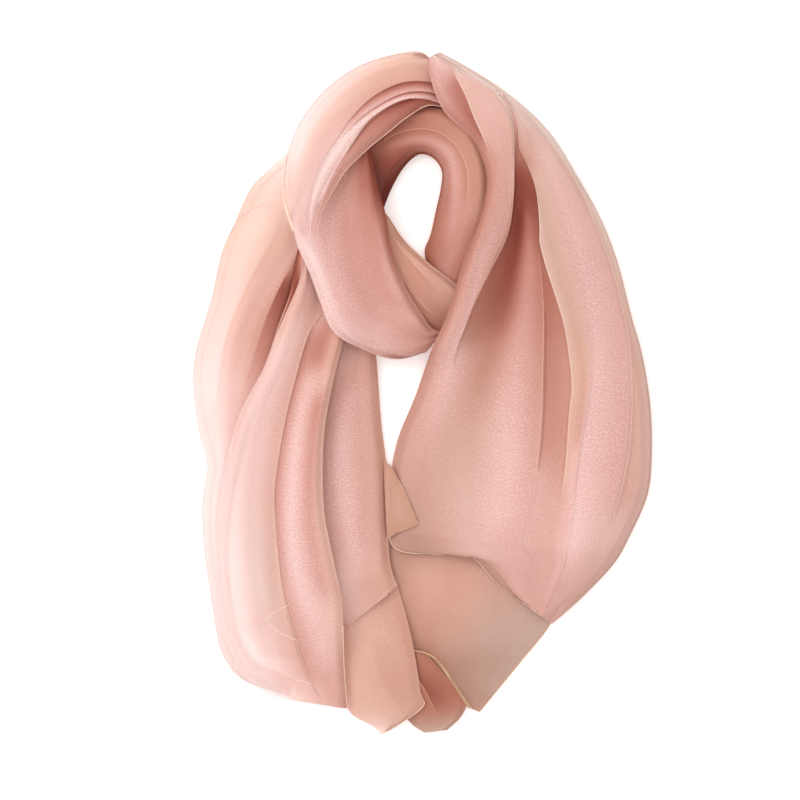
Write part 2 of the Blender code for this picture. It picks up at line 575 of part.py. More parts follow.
def main():
    for obj in list(bpy.data.objects):
        bpy.data.objects.remove(obj)
    scarf = bpy.data.collections.new("organza scarf")
    cutters = bpy.data.collections.new("cutters")
    bpy.context.scene.collection.children.link(scarf)
    bpy.context.scene.collection.children.link(cutters)
    blush = material("blush organza", BLUSH)
    peach = material("peach organza", PEACH)
    rose = material("rose organza", ROSE)

    under = hidden_layers(rose, scarf, cutters)
    right_end = stretch(
        "right_end", RIGHT_END, RIGHT_END_FOLDS, peach, scarf, (), (under,),
    )
    bottom_fold = stretch(
        "bottom_fold", BOTTOM_FOLD, BOTTOM_FOLD_FOLDS, rose, scarf, (), (under, right_end),
    )
    left_sheer = stretch(
        "left_sheer", LEFT_SHEER, LEFT_SHEER_FOLDS, peach, scarf, ("left",), (under,),
    )
    left_end = stretch(
        "left_end", LEFT_END, LEFT_END_FOLDS, peach, scarf, (), (under, right_end, bottom_fold),
    )
    front_fold = stretch(
        "left_front_fold", LEFT_FRONT_FOLD, LEFT_FRONT_FOLD_FOLDS, blush, scarf, (),
        (under, right_end, bottom_fold, left_end),
    )
    left_tail = stretch(
        "left_tail", LEFT_TAIL, LEFT_TAIL_FOLDS, blush, scarf, (),
        (under, left_sheer, left_end, front_fold),
    )
    inner_ring = stretch(
        "inner_ring", INNER_RING, INNER_RING_FOLDS, rose, scarf, ("right",),
        (under, left_sheer, left_tail, front_fold),
    )
    underside = stretch(
        "loop_underside", LOOP_UNDERSIDE, LOOP_UNDERSIDE_FOLDS, peach, scarf, (),
        (under, left_tail, front_fold, inner_ring),
    )
    front = stretch(
        "loop_front", LOOP_FRONT, LOOP_FRONT_FOLDS, blush, scarf, (),
        (under, left_sheer, left_tail, front_fold, inner_ring, underside),
    )
    top = stretch(
        "loop_top", LOOP_TOP, LOOP_TOP_FOLDS, blush, scarf, (),
        (under, left_sheer, left_tail, inner_ring, underside, front),
    )
    right_tail = stretch(
        "right_tail", RIGHT_TAIL, RIGHT_TAIL_FOLDS, blush, scarf, ("right",),
        (under, right_end, inner_ring, underside, front, top),
    )
    stretch(
        "corner_flap", CORNER_FLAP, CORNER_FLAP_FOLDS, peach, scarf, (), (under, right_end, right_tail),
    )


main()
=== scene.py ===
import math

import bpy
import numpy
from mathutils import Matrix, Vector
from mathutils.bvhtree import BVHTree


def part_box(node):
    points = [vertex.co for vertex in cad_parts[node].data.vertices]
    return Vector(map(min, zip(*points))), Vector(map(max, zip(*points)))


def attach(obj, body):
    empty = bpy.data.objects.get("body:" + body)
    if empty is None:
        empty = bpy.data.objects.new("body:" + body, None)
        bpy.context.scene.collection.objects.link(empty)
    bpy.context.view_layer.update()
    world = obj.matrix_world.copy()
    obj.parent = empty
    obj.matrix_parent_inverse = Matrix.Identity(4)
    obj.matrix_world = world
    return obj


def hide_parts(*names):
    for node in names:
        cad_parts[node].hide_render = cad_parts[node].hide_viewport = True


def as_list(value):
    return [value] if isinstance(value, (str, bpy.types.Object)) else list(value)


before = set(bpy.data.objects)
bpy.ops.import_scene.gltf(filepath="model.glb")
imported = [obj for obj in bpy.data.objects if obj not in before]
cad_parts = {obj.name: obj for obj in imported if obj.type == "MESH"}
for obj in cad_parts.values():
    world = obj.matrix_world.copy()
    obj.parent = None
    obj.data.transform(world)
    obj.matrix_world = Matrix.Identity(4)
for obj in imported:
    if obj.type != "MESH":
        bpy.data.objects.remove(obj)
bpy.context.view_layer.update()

# Organza scarf, looped once and laid flat, seen from straight above.
# Each stretch is a thin sheet on the form of its solid. Places are in millimetres from the middle
# of the scarf: x to the right and y towards the top of the loop.
# A tone is (light, warm, dense): painted light and shade from deep shade to a pale highlight, from
# pink to peach, from sheer to solid, and a fourth number where the cloth looks beige, as a single
# layer does.

mm = 0.001
cloth = {
    "gridStep": 2.5,  # between the points of a sheet
    "fewestRows": 10,
    "thickness": 0.35,
    "clearance": 0.45,  # between two sheets that touch
    "lowest": 1.2,  # over the surface
    "lip": (1.0, 0.7, 0.4, 0.15, 0.03),  # shares of a turned edge's width that have points
    "lipMost": 0.45,  # of the width of the sheet
    "turnedUnder": 1.1,  # how far a turned edge lies below the sheet
    "softened": 8.0,  # how far the folds of the solid are evened out
    "rimKept": (5.0, 24.0),  # from an edge: not evened out up to the first, fully from the second
    "rimInset": 1.6,  # from an edge to where the height of the solid is read
    "easedIn": 6.0,  # from an edge to where the folds have their whole height
    "fade": 34.0,  # over which a fold dies away at its end
    "leastRoom": 1.2,  # between two folds
    "beside": 0.02,  # how far past the edge a path may run, as a share of the width
    "crispHalf": 0.45,  # half the width of a crisp fold line
    "crispMost": 0.3,  # of the way to the next fold
    "crestHighlight": (0.12, 0.30, 0.06, 0.0),  # its tone over the cloth beside it: lighter and warmer as a painted highlight, and a little denser as the doubled cloth at a fold is
    "pathPasses": 12,  # of evening out along a path
    "facetPasses": 10,  # of evening out the solid's facets along a sheet
    "liftPasses": 6,  # of spreading a lift to the points around it
    "liftKept": 0.88,  # from one point to the next
    "fieldStep": 2.5,  # between the places where a solid's height is read
    "fieldMargin": 4,  # steps round the solid
}

# rows: left x, left y, right x and right y of the sheet's two edges, from its start to its end.
# turned: how wide the edges are that turn under, on the left and on the right.
# lines: its folds from left to right, the first and last along its edges. A path is where a fold
# runs, a step how much higher the cloth is on its left side than on its right, and a roll how far
# it swells on the way to the next line. Tones are given at even shares of the sheet's rows, for
# the cloth on the left and on the right of the line. Their light is painted light and shade: dark
# in valleys and beside the edge of a fold that lies over a step, pale as a painted highlight on ridges.

# darkest where painted shade fills the valley beside its second roll
rightTail = {
    "node": "right_tail",
    "turned": (9, 12),
    "rows": [(3, 330, 16, 339), (10, 300, 47, 323), (22, 276, 88, 296), (50, 248, 126, 260),
        (62, 212, 156, 212), (55, 175, 177, 174), (40, 135, 194, 130), (24, 80, 208, 75),
        (8, 44, 218, 40), (-8, -2, 226, -8), (-27, -50, 228, -56), (-34, -100, 224, -100),
        (-31, -152, 206, -142), (10, -160, 190, -170), (46, -162, 162, -200), (74, -190, 140, -220),
        (96, -206, 128, -230)],
    "lines": [
        {"right": [(.6, .1, .9), (.5, .2, .92), (.42, .6, .95), (.4, .6, .95), (.48, .5, .9, .1),
             (.54, .5, .85, .2), (.5, .6, .8, .4), (.48, .7, .8, .5), (.52, .6, .8, .4)], "roll": .6},
        {"path": [(23, 336), (29, 318), (41, 294), (49, 273), (59, 249), (66, 234)], "step": -2,
         "left": [(.38, .05, .95), (.22, .1, .95), (.24, .1, .95), (.36, .2, .9)],
         "right": [(.72, .5, .75), (.68, .5, .8), (.62, .4, .8), (.6, .4, .8)]},
        {"path": [(46, 304), (66, 269), (78, 234), (78, 194), (68, 154), (52, 132), (38, 100), (28, 72),
             (18, 46), (3, 0), (-16, -50), (-24, -96)],
         "left": [(.76, .2, .8), (.72, .25, .8), (.58, .3, .88), (.61, .2, .92), (.68, .1, .9),
             (.58, .3, .86, .2), (.46, .5, .8, .5), (.48, .5, .8, .5), (.52, .5, .8, .4)]},
        {"path": [(28, 336), (46, 321), (67, 303), (76, 291), (85, 276), (89, 255), (89, 234), (89, 210),
             (88, 186), (85, 164), (79, 146), (69, 127), (55, 100), (43, 72), (35, 50), (28, 26)],
         "step": 3.4,
         "left": [(.72, .5, .6), (.7, .5, .7), (.6, .5, .85), (.5, .5, .9), (.52, .6, .8, .2),
             (.54, .6, .85, .3), (.5, .6, .8, .4), (.56, .5, .8, .2), (.54, .5, .8)],
         "right": [(.84, .5, .3, .5), (.84, .5, .4, .4), (.14, .3, .98), (.22, .35, .95),
             (.44, .5, .9, .3), (.5, .5, .85, .4), (.54, .5, .8, .4), (.56, .5, .8, .3),
             (.54, .5, .8, .2)]},
        {"path": [(96, 205), (92, 150), (84, 112), (76, 76), (62, 34), (50, -10), (40, -56), (40, -100),
             (50, -136)],
         "left": [(.84, .5, .3, .5), (.84, .5, .4, .4), (.12, .3, .98), (.13, .35, .98),
             (.4, .55, .95, .2), (.55, .5, .88, .4), (.7, .5, .82, .3), (.66, .5, .82, .2),
             (.56, .5, .8, .2)]},
        {"path": [(100, 205), (104, 160), (104, 122), (99, 76), (93, 37), (86, -11), (82, -78),
             (70, -130), (56, -156)], "roll": .6,
         "left": [(.84, .5, .3, .5), (.84, .5, .4, .4), (.18, .3, .98), (.42, .25, .96), (.56, .2, .95),
             (.72, .2, .9), (.71, .2, .88), (.64, .2, .88), (.62, .3, .85)]},
        {"path": [(113, 150), (116, 120), (119, 76), (118, 18), (116, -40), (110, -90)], "step": .4,
         "left": [(.5, .3, .8), (.4, .3, .9), (.2, .3, .95), (.36, .3, .95), (.46, .4, .95),
             (.58, .4, .9), (.66, .3, .85), (.66, .2, .8), (.66, .2, .8)],
         "right": [(.5, .3, .8), (.4, .3, .9), (.18, .3, .95), (.28, .3, .95), (.38, .4, .95),
             (.48, .4, .92), (.62, .3, .85), (.66, .2, .8), (.66, .2, .8)]},
        {"path": [(92, 231), (103, 199), (111, 165), (119, 131), (137, 76), (144, 37), (147, 8),
             (144, -21), (141, -69), (135, -112)], "step": -1.6,
         "left": [(.8, .5, .5, .4), (.8, .5, .5, .4), (.2, .35, .98), (.3, .4, .95), (.46, .45, .9),
             (.5, .45, .88), (.62, .3, .85), (.62, .3, .8), (.6, .3, .8)],
         "right": [(.84, .6, .5, .5), (.8, .6, .5, .5), (.76, .9, .7, .3), (.74, .9, .8, .3),
             (.72, .9, .8, .2), (.7, .8, .8), (.68, .5, .8), (.64, .3, .8), (.64, .3, .8)]},
        {"path": [(99, 234), (110, 205), (119, 168), (128, 131), (147, 76), (155, 37), (158, 8),
             (155, -21), (150, -69)], "roll": 2,
         "left": [(.84, .5, .3, .6), (.74, .6, .5, .5), (.64, .7, .75, .5), (.6, .8, .85, .4),
             (.6, .8, .85, .2), (.6, .6, .85), (.62, .4, .85), (.62, .3, .85), (.62, .3, .85)]},
        {"path": [(106, 264), (132, 204), (150, 154), (166, 96), (170, 34), (163, -21), (153, -78),
             (149, -136), (136, -186)],
         "left": [(.86, .5, .5, .5), (.78, .3, .7, .3), (.7, .2, .88, .1), (.68, .1, .92), (.7, .1, .92),
             (.73, .1, .92), (.78, .1, .92), (.74, .1, .9), (.64, .1, .88)]},
        {"path": [(76, 306), (106, 276), (128, 247), (155, 206), (171, 167), (190, 117), (200, 76),
             (206, 34), (207, -21), (201, -76), (186, -130)], "step": .9,
         "left": [(.84, .5, .5, .5), (.74, .5, .6, .5), (.64, .5, .7, .3), (.62, .4, .8, .1),
             (.62, .3, .88), (.6, .3, .9), (.6, .3, .9), (.6, .2, .8), (.6, .2, .8)],
         "right": [(.88, .6, .75, .6), (.8, .6, .75, .7), (.68, .7, .75, .6), (.62, .7, .8, .4),
             (.6, .6, .8, .2), (.58, .4, .85, .1), (.56, .4, .85), (.6, .2, .8), (.6, .2, .8)]},
        {"left": [(.92, .6, .7, .6), (.9, .6, .7, .7), (.84, .7, .7, .7), (.76, .7, .7, .5),
             (.67, .6, .75, .5), (.63, .4, .8, .5), (.58, .4, .8, .5), (.54, .4, .8, .4),
             (.58, .3, .8, .3)]},
    ],
}

rightEnd = {
    "node": "right_end",
    "turned": (0, 0),
    "rows": [(-32, -138, 144, -158), (-44, -172, 146, -184), (-44, -206, 134, -208),
        (-36, -238, 125, -233), (-18, -268, 97, -268), (14, -290, 74, -296), (44, -313, 56, -318)],
    "lines": [
        {"right": [(.42, .8, .85, .5), (.36, 1, .85, .4), (.28, 1, .85, .4), (.3, 1, .85, .4)]},
        {"path": [(0, -150), (4, -170), (8, -200), (2, -234), (4, -266), (24, -296)], "roll": 1.6,
         "left": [(.5, .8, .8, .4), (.58, .7, .8), (.46, .8, .85, .2), (.26, 1, .85, .4),
             (.36, .9, .8, .5)]},
        {"path": [(36, -150), (34, -180), (30, -206), (26, -240), (34, -280)],
         "left": [(.52, .7, .85, .2), (.56, .7, .85), (.5, .7, .85, .3), (.38, .6, .85, .9),
             (.44, .8, .8, .9)]},
        {"path": [(84, -170), (80, -200), (70, -230), (62, -270)],
         "left": [(.48, .6, .85, .3), (.52, .6, .85, .6), (.48, .5, .85, 1), (.44, .8, .85, .9)]},
        {"left": [(.52, .5, .85, .6), (.52, .7, .85, .9), (.48, .7, .85, 1), (.44, .9, .85, .7)]},
    ],
}

# its dark tones paint the shade inside the fold
bottomFold = {
    "node": "bottom_fold",
    "turned": (0, 6),
    "rows": [(-52, -244, 2, -258), (-44, -284, 24, -284), (-26, -312, 42, -306), (-12, -330, 38, -322),
        (1, -339, 24, -336)],
    "lines": [
        {"right": [(.4, .8, .8), (.34, .7, .9), (.5, .8, .7, .8)]},
        {"path": [(-20, -262), (2, -296), (16, -330)], "step": 1.4,
         "left": [(.48, .8, .8), (.32, .7, .95), (.5, .8, .7, .8)],
         "right": [(.2, .7, .95), (.22, .6, .95), (.46, .7, .8, .8)]},
        {"left": [(.36, .8, .8), (.36, .7, .9), (.5, .9, .7, .8)]},
    ],
}

# darkest where painted shadow lies beside the left tail's upper edge
leftSheer = {
    "node": "left_sheer",
    "turned": (10, 0),
    "rows": [(-134, 242, -104, 230), (-156, 222, -108, 208), (-173, 204, -112, 184),
        (-191, 165, -114, 154), (-202, 139, -120, 122), (-212, 94, -130, 86), (-227, 44, -140, 54),
        (-230, 8, -148, 22), (-225, -36, -168, -26), (-216, -71, -182, -74), (-221, -108, -190, -112),
        (-219, -156, -194, -158), (-211, -209, -190, -206), (-202, -257, -182, -244),
        (-180, -286, -166, -268), (-134, -302, -128, -284)],
    "lines": [
        {"right": [(.92, .9, .05), (.88, .9, .4), (.88, .9, .45), (.92, .4, .4), (.96, .1, .35),
             (.97, .1, .3), (.97, .1, .35), (.95, .1, .4), (.92, .1, .4)]},
        {"path": [(-137, 189), (-149, 155), (-167, 123), (-184, 89), (-198, 49), (-205, 4), (-206, -30)],
         "roll": .8,
         "left": [(.92, .9, .05), (.88, .9, .4), (.84, .9, .5), (.88, .5, .45), (.93, .1, .4),
             (.95, .1, .4), (.95, .1, .4), (.93, .1, .4), (.9, .1, .4)],
         "right": [(.9, .9, .05), (.82, .8, .45), (.7, .6, .75), (.76, .5, .7), (.88, .2, .5),
             (.92, .1, .45), (.93, .1, .4), (.93, .1, .4), (.9, .1, .4)]},
        {"path": [(-124, 150), (-139, 126), (-162, 94), (-177, 64), (-184, 24), (-186, -16)],
         "left": [(.9, .9, .05), (.82, .8, .45), (.68, .5, .8), (.66, .5, .8), (.82, .3, .6),
             (.9, .1, .5), (.91, .1, .4), (.91, .1, .4), (.9, .1, .4)]},
        {"path": [(-121, 134), (-134, 122), (-148, 94), (-160, 62), (-172, 26), (-182, -10)],
         "left": [(.9, .9, .05), (.8, .8, .4), (.62, .5, .8), (.5, .5, .9), (.74, .4, .7), (.88, .1, .5),
             (.9, .1, .4), (.9, .1, .4), (.9, .1, .4)],
         "right": [(.9, .9, .05), (.8, .8, .4), (.16, .3, .98), (.34, .4, .95), (.62, .4, .8),
             (.86, .1, .5), (.9, .1, .4), (.9, .1, .4), (.9, .1, .4)]},
        {"left": [(.9, .9, .05), (.7, .7, .4), (.06, .3, 1), (.16, .35, .98), (.46, .4, .85),
             (.84, .1, .5), (.9, .1, .4), (.9, .1, .4), (.9, .1, .4)]},
    ],
}

leftEnd = {
    "node": "left_end",
    "turned": (0, 8),
    "rows": [(-88, -186, -29, -182), (-84, -226, -16, -226), (-82, -264, -8, -264),
        (-79, -300, -3, -296), (-72, -320, 0, -311), (-50, -333, -20, -327), (-43, -340, -35, -337)],
    "lines": [
        {"right": [(.7, .8, .85), (.72, .8, .85), (.74, .7, .7), (.92, .3, .35)]},
        {"path": [(-70, -228), (-74, -262), (-70, -300), (-50, -330)], "roll": 1,
         "left": [(.7, .8, .85), (.68, .8, .85), (.68, .8, .8, .2), (.88, .4, .4, .3)]},
        {"path": [(-44, -206), (-36, -236), (-28, -262), (-18, -290)],
         "left": [(.64, .6, .85), (.62, .7, .85), (.58, .8, .85, .2), (.64, .7, .8, .4)]},
        {"left": [(.56, .7, .88), (.53, .8, .88), (.54, .9, .85, .2), (.6, .8, .8, .5)]},
    ],
}

leftFrontFold = {
    "node": "left_front_fold",
    "turned": (0, 8),
    "rows": [(-72, 146, -44, 148), (-78, 94, -44, 96), (-90, 54, -48, 52), (-100, 16, -46, 24),
        (-109, -34, -42, -30), (-112, -74, -37, -72), (-110, -124, -36, -118), (-102, -166, -34, -162),
        (-94, -206, -31, -178), (-88, -240, -26, -192)],
    "lines": [
        {"right": [(.6, .6, .9), (.74, .9, .9), (.92, 1, .88), (.92, 1, .88), (.76, .7, .85)]},
        {"path": [(-76, 40), (-90, -30), (-94, -80), (-88, -130), (-80, -190)],
         "left": [(.38, .4, .95), (.5, .4, .95), (.58, .3, .92), (.6, .3, .9), (.61, .3, .85)]},
        {"path": [(-65, 28), (-78, -22), (-82, -63), (-76, -113), (-71, -155), (-70, -200)], "roll": .5,
         "left": [(.4, .4, .9), (.54, .3, .9), (.7, .1, .9), (.7, .1, .9), (.66, .2, .85)]},
        {"path": [(-56, 24), (-60, -30), (-60, -80), (-56, -130), (-50, -170)],
         "left": [(.42, .4, .9), (.54, .4, .9), (.6, .5, .9), (.6, .4, .88), (.62, .6, .85)]},
        {"left": [(.42, .5, .9), (.52, .6, .85), (.57, .7, .8), (.57, .8, .8), (.62, .8, .8)]},
    ],
}

# dark at the top of its left edge, as painted shadow under the loop
leftTail = {
    "node": "left_tail",
    "turned": (0, 8),
    "rows": [(-118, 174, -68, 168), (-128, 130, -66, 120), (-133, 100, -68, 90), (-145, 66, -78, 56),
        (-158, 28, -88, 18), (-183, -20, -97, -28), (-199, -76, -100, -72), (-206, -120, -98, -120),
        (-209, -166, -89, -166), (-205, -206, -81, -206), (-197, -246, -80, -244),
        (-180, -280, -79, -278), (-152, -302, -76, -314)],
    "lines": [
        {"right": [(.2, .3, .95), (.16, .3, .98), (.76, .5, .85), (.84, .4, .5), (.92, .2, .2),
             (.94, .1, .1), (.95, .1, .1), (.95, .1, .15), (.94, .1, .2)]},
        {"path": [(-118, 140), (-123, 112), (-134, 86), (-146, 58), (-154, 34)], "step": -1,
         "left": [(.2, .3, .95), (.12, .3, .98), (.72, .5, .85), (.84, .4, .8), (.84, .3, .8)],
         "right": [(.6, .5, .9), (.7, .5, .9), (.8, .5, .88), (.84, .4, .85), (.84, .3, .8)]},
        {"path": [(-140, 66), (-160, 14), (-181, -50), (-190, -120), (-190, -180), (-178, -240)],
         "roll": 1,
         "left": [(.6, .3, .9), (.66, .4, .9), (.84, .4, .85), (.86, .3, .75), (.9, .2, .5),
             (.94, .1, .35), (.95, .1, .25), (.95, .1, .25), (.94, .1, .3)]},
        {"path": [(-118, 90), (-133, 44), (-156, -20), (-166, -90), (-166, -160), (-156, -226)],
         "left": [(.54, .3, .9), (.66, .3, .9), (.78, .3, .88), (.79, .3, .85), (.8, .2, .82),
             (.79, .2, .78, .4), (.82, .15, .7, .4), (.9, .1, .4), (.9, .1, .4)]},
        {"path": [(-108, 84), (-126, 26), (-142, -46), (-150, -112), (-148, -186), (-140, -250)],
         "left": [(.5, .3, .9), (.56, .3, .9), (.66, .4, .9), (.68, .4, .88), (.69, .5, .86),
             (.68, .5, .84, .2), (.7, .4, .8, .4), (.8, .2, .6, .2), (.72, .3, .65)]},
        {"path": [(-101, 81), (-116, 53), (-128, 11), (-138, -30), (-146, -68), (-148, -105),
             (-144, -165), (-138, -206), (-128, -239), (-118, -272), (-100, -305)], "step": 2,
         "left": [(.46, .6, .9), (.66, .7, .9), (.74, .7, .88), (.72, .7, .85), (.6, .5, .8)],
         "right": [(.26, .3, .95), (.4, .4, .95), (.5, .3, .95), (.57, .3, .92), (.52, .3, .88)]},
        {"path": [(-104, 40), (-118, -6), (-125, -39), (-130, -88), (-131, -146), (-125, -181),
             (-111, -222), (-100, -255), (-90, -297)],
         "left": [(.44, .3, .95), (.6, .2, .95), (.79, .1, .95), (.78, .1, .92), (.58, .3, .85)]},
        {"path": [(-96, 20), (-106, -20), (-112, -72), (-112, -124), (-104, -172), (-94, -220)],
         "left": [(.3, .3, .95), (.38, .3, .95), (.5, .3, .95), (.57, .2, .92), (.54, .3, .85)]},
        {"left": [(.5, .6, .9), (.62, .7, .9), (.7, .7, .9), (.7, .7, .9), (.58, .6, .85)]},
    ],
}

# its deep tones paint the shade inside the loop, round the opening
innerRing = {
    "node": "inner_ring",
    "turned": (0, 7),
    "rows": [(-94, 198, -42, 178), (-88, 236, -33, 202), (-62, 264, -20, 225), (-26, 283, -5, 238),
        (14, 288, 9, 235), (49, 268, 18, 222), (67, 228, 17, 204), (68, 186, 13, 186), (58, 148, 7, 159),
        (46, 122, 1, 142), (34, 98, 5, 120)],
    "lines": [
        {"right": [(0, .2, 1), (.06, .3, 1), (.36, .8, 1), (.32, .6, 1), (.28, .4, 1)]},
        {"path": [(-54, 250), (-24, 268), (14, 272), (42, 252), (56, 222), (56, 186), (46, 150)],
         "roll": .5,
         "left": [(0, .2, 1), (.22, .5, 1), (.5, .9, 1), (.47, .8, 1), (.42, .4, 1)]},
        {"path": [(-60, 236), (-34, 254), (-6, 262), (20, 256), (38, 236), (44, 210), (40, 176)],
         "step": .3,
         "left": [(0, .2, 1), (.28, .6, 1), (.47, .9, 1), (.42, .7, 1), (.44, .4, 1)],
         "right": [(0, .2, 1), (.26, .6, 1), (.43, .8, 1), (.37, .6, 1), (.4, .4, 1)]},
        {"path": [(-52, 226), (-44, 240), (-19, 250), (6, 249), (24, 239), (31, 218), (31, 193),
             (29, 167), (20, 140)],
         "left": [(0, .3, 1), (.4, .4, 1), (.56, .2, 1), (.5, .2, 1), (.52, .2, 1)]},
        {"path": [(-46, 210), (-30, 232), (-12, 243), (6, 242), (18, 231), (24, 214), (23, 190),
             (18, 164)],
         "left": [(.05, .3, 1), (.26, .5, 1), (.42, .4, 1), (.38, .4, 1), (.38, .3, 1)]},
        {"left": [(0, .4, 1), (.1, .8, 1), (.26, .8, 1), (.3, .8, .98), (.24, .6, 1)]},
    ],
}

loopUnderside = {
    "node": "loop_underside",
    "turned": (6, 0),
    "rows": [(-47, 188, -62, 160), (-35, 176, -52, 140), (-21, 155, -40, 116), (-4, 138, -22, 92),
        (12, 124, 0, 68), (34, 108, 18, 54)],
    "lines": [
        {"right": [(.46, .8, .9), (.56, .9, .9), (.6, .6, .9)]},
        {"path": [(-41, 176), (-28, 152), (-10, 128), (8, 108), (28, 92)], "step": .8, "roll": 1,
         "left": [(.46, .8, .9), (.56, .9, .9), (.58, .5, .9)],
         "right": [(.4, .8, .9), (.48, .9, .9), (.5, .5, .9)]},
        {"path": [(-48, 166), (-36, 136), (-20, 110), (2, 84), (22, 70)], "step": .8,
         "left": [(.36, .8, .9), (.48, .9, .9), (.48, .6, .9)],
         "right": [(.28, .7, .9), (.38, .9, .9), (.42, .6, .9)]},
        {"left": [(.22, .6, .9), (.32, .9, .9), (.34, .6, .9)]},
    ],
}

# dark at its inner edge near the top, as painted shade beside the inner ring
loopFront = {
    "node": "loop_front",
    "turned": (9, 8),
    "rows": [(-82, 244, -54, 246), (-114, 214, -46, 209), (-130, 179, -38, 179), (-126, 149, -33, 149),
        (-113, 119, -25, 122), (-102, 89, -13, 96), (-90, 62, 0, 76), (-68, 47, 6, 67),
        (-30, 34, 14, 62), (2, 41, 24, 66)],
    "lines": [
        {"right": [(.84, .2, .8), (.86, .1, .85), (.84, .2, .88), (.78, .3, .9), (.5, .4, .9)]},
        {"path": [(-118, 176), (-114, 148), (-103, 116), (-92, 86), (-76, 64), (-48, 52), (-16, 50)],
         "left": [(.84, .2, .88), (.9, .1, .88), (.84, .1, .9), (.7, .2, .92), (.42, .4, .9)]},
        {"path": [(-98, 190), (-98, 150), (-88, 112), (-74, 80), (-46, 62), (-12, 56)],
         "left": [(.74, .4, .9), (.66, .3, .92), (.66, .2, .92), (.6, .2, .92), (.42, .4, .9)]},
        {"path": [(-76, 196), (-74, 150), (-66, 108), (-48, 78), (-20, 66)], "roll": .4,
         "left": [(.42, .4, .95), (.48, .2, .95), (.5, .1, .95), (.5, .2, .95), (.38, .4, .9)]},
        {"path": [(-56, 200), (-52, 160), (-44, 122), (-30, 90), (-8, 72)],
         "left": [(.24, .4, .97), (.42, .3, .95), (.48, .2, .95), (.44, .2, .95), (.38, .4, .9)]},
        {"path": [(-46, 200), (-42, 160), (-34, 124), (-20, 94), (-2, 76)],
         "left": [(.14, .3, .98), (.42, .3, .95), (.58, .2, .94), (.5, .2, .92), (.44, .3, .9)]},
        {"left": [(.1, .4, 1), (.2, .4, .98), (.42, .4, .94), (.52, .4, .9), (.44, .4, .9)]},
    ],
}

# dark beside each pleat's crisp edge, as painted shadow under the pleat over it
loopTop = {
    "node": "loop_top",
    "turned": (9, 0),
    "rows": [(16, 322, 26, 282), (-2, 340, 5, 285), (-36, 337, -15, 274), (-74, 322, -34, 259),
        (-108, 293, -56, 241), (-130, 256, -77, 220), (-139, 220, -91, 198), (-138, 190, -99, 180),
        (-130, 164, -104, 160), (-120, 138, -106, 138)],
    "lines": [
        {"right": [(.72, .6, .7), (.8, .8, .6), (.88, .7, .5), (.95, .3, .45), (.97, .1, .4),
             (.95, .3, .3), (.92, .7, .1), (.9, .8, 0), (.9, .8, 0)]},
        {"path": [(6, 332), (-28, 327), (-64, 312), (-92, 290), (-112, 262), (-124, 230), (-129, 196)],
         "left": [(.64, .7, .8), (.68, .9, .75), (.76, .9, .65), (.86, .5, .6), (.9, .3, .5),
             (.9, .5, .5), (.88, .6, .2), (.86, .6, 0), (.86, .6, 0)]},
        {"path": [(1, 322), (-29, 322), (-59, 309), (-86, 286), (-106, 259), (-118, 229), (-126, 199)],
         "left": [(.6, .8, .85), (.62, .9, .82), (.68, .9, .75), (.76, .7, .7), (.79, .6, .68),
             (.82, .6, .6), (.84, .5, .3), (.84, .3, .05), (.84, .3, 0)]},
        {"path": [(24, 303), (8, 308), (-16, 309), (-34, 303), (-52, 292), (-64, 281), (-76, 266),
             (-88, 249)], "step": 2, "roll": .6,
         "left": [(.54, .5, .9), (.55, .5, .9), (.57, .5, .9), (.62, .5, .88), (.69, .4, .85),
             (.78, .4, .8), (.8, .4, .5), (.84, .3, .05), (.84, .3, 0)],
         "right": [(.26, .2, .95), (.22, .2, .95), (.24, .2, .95), (.38, .2, .92), (.6, .3, .9),
             (.74, .3, .8), (.8, .3, .5), (.84, .3, .05), (.84, .3, 0)]},
        {"path": [(28, 292), (10, 297), (-10, 299), (-28, 294), (-46, 284), (-59, 275), (-70, 265),
             (-82, 249)], "step": 2,
         "left": [(.56, .2, .92), (.56, .2, .92), (.6, .2, .92), (.66, .2, .92), (.71, .2, .9),
             (.78, .2, .85), (.82, .1, .6), (.84, .1, .15), (.84, .1, 0)],
         "right": [(.22, .15, .95), (.2, .15, .95), (.28, .15, .95), (.44, .2, .95), (.66, .2, .9),
             (.8, .1, .88), (.86, .1, .7), (.88, .1, .2), (.88, .1, 0)]},
        {"path": [(30, 286), (13, 290), (-12, 293), (-30, 288), (-46, 279), (-60, 269), (-72, 258),
             (-89, 242), (-104, 219), (-116, 194), (-122, 169), (-117, 148)], "roll": .3,
         "left": [(.62, .2, .92), (.74, .1, .92), (.82, .1, .92), (.86, .1, .92), (.9, .1, .9),
             (.88, .1, .9), (.88, .1, .7), (.88, .1, .25), (.88, .1, 0)]},
        {"path": [(32, 283), (13, 288), (2, 291), (-12, 292), (-28, 287), (-42, 279), (-55, 269),
             (-65, 255), (-74, 241), (-86, 222), (-98, 199), (-106, 179), (-112, 159)], "step": 2.2,
         "left": [(.6, .2, .92), (.68, .2, .92), (.72, .2, .92), (.74, .2, .92), (.76, .2, .92),
             (.76, .2, .9), (.8, .2, .7), (.84, .1, .25), (.84, .1, 0)],
         "right": [(.2, .1, .98), (.16, .1, .98), (.22, .1, .98), (.34, .15, .95), (.42, .2, .95),
             (.54, .2, .94), (.66, .3, .75), (.7, .3, .25), (.7, .3, 0)]},
        {"left": [(.3, .2, .95), (.32, .2, .95), (.38, .3, .95), (.46, .4, .92), (.56, .5, .9),
             (.66, .6, .8), (.74, .6, .5), (.76, .5, .2), (.76, .5, 0)]},
    ],
}

cornerFlap = {
    "node": "corner_flap",
    "turned": (0, 0),
    "rows": [(-40, -66, -33, -72), (-39, -92, -21, -94), (-38, -116, -9, -122), (-37, -132, -7, -130),
        (-36, -144, -26, -138)],
    "lines": [
        {"right": [(.52, 1, .85, .2), (.54, 1, .85, .2), (.48, 1, .85, .2)]},
        {"path": [(-30, -84), (-24, -116), (-22, -136)], "left": [(.6, 1, .8, .2), (.6, 1, .8, .2)]},
        {"left": [(.54, 1, .85, .2), (.52, 1, .85, .2), (.5, 1, .85, .2)]},
    ],
}
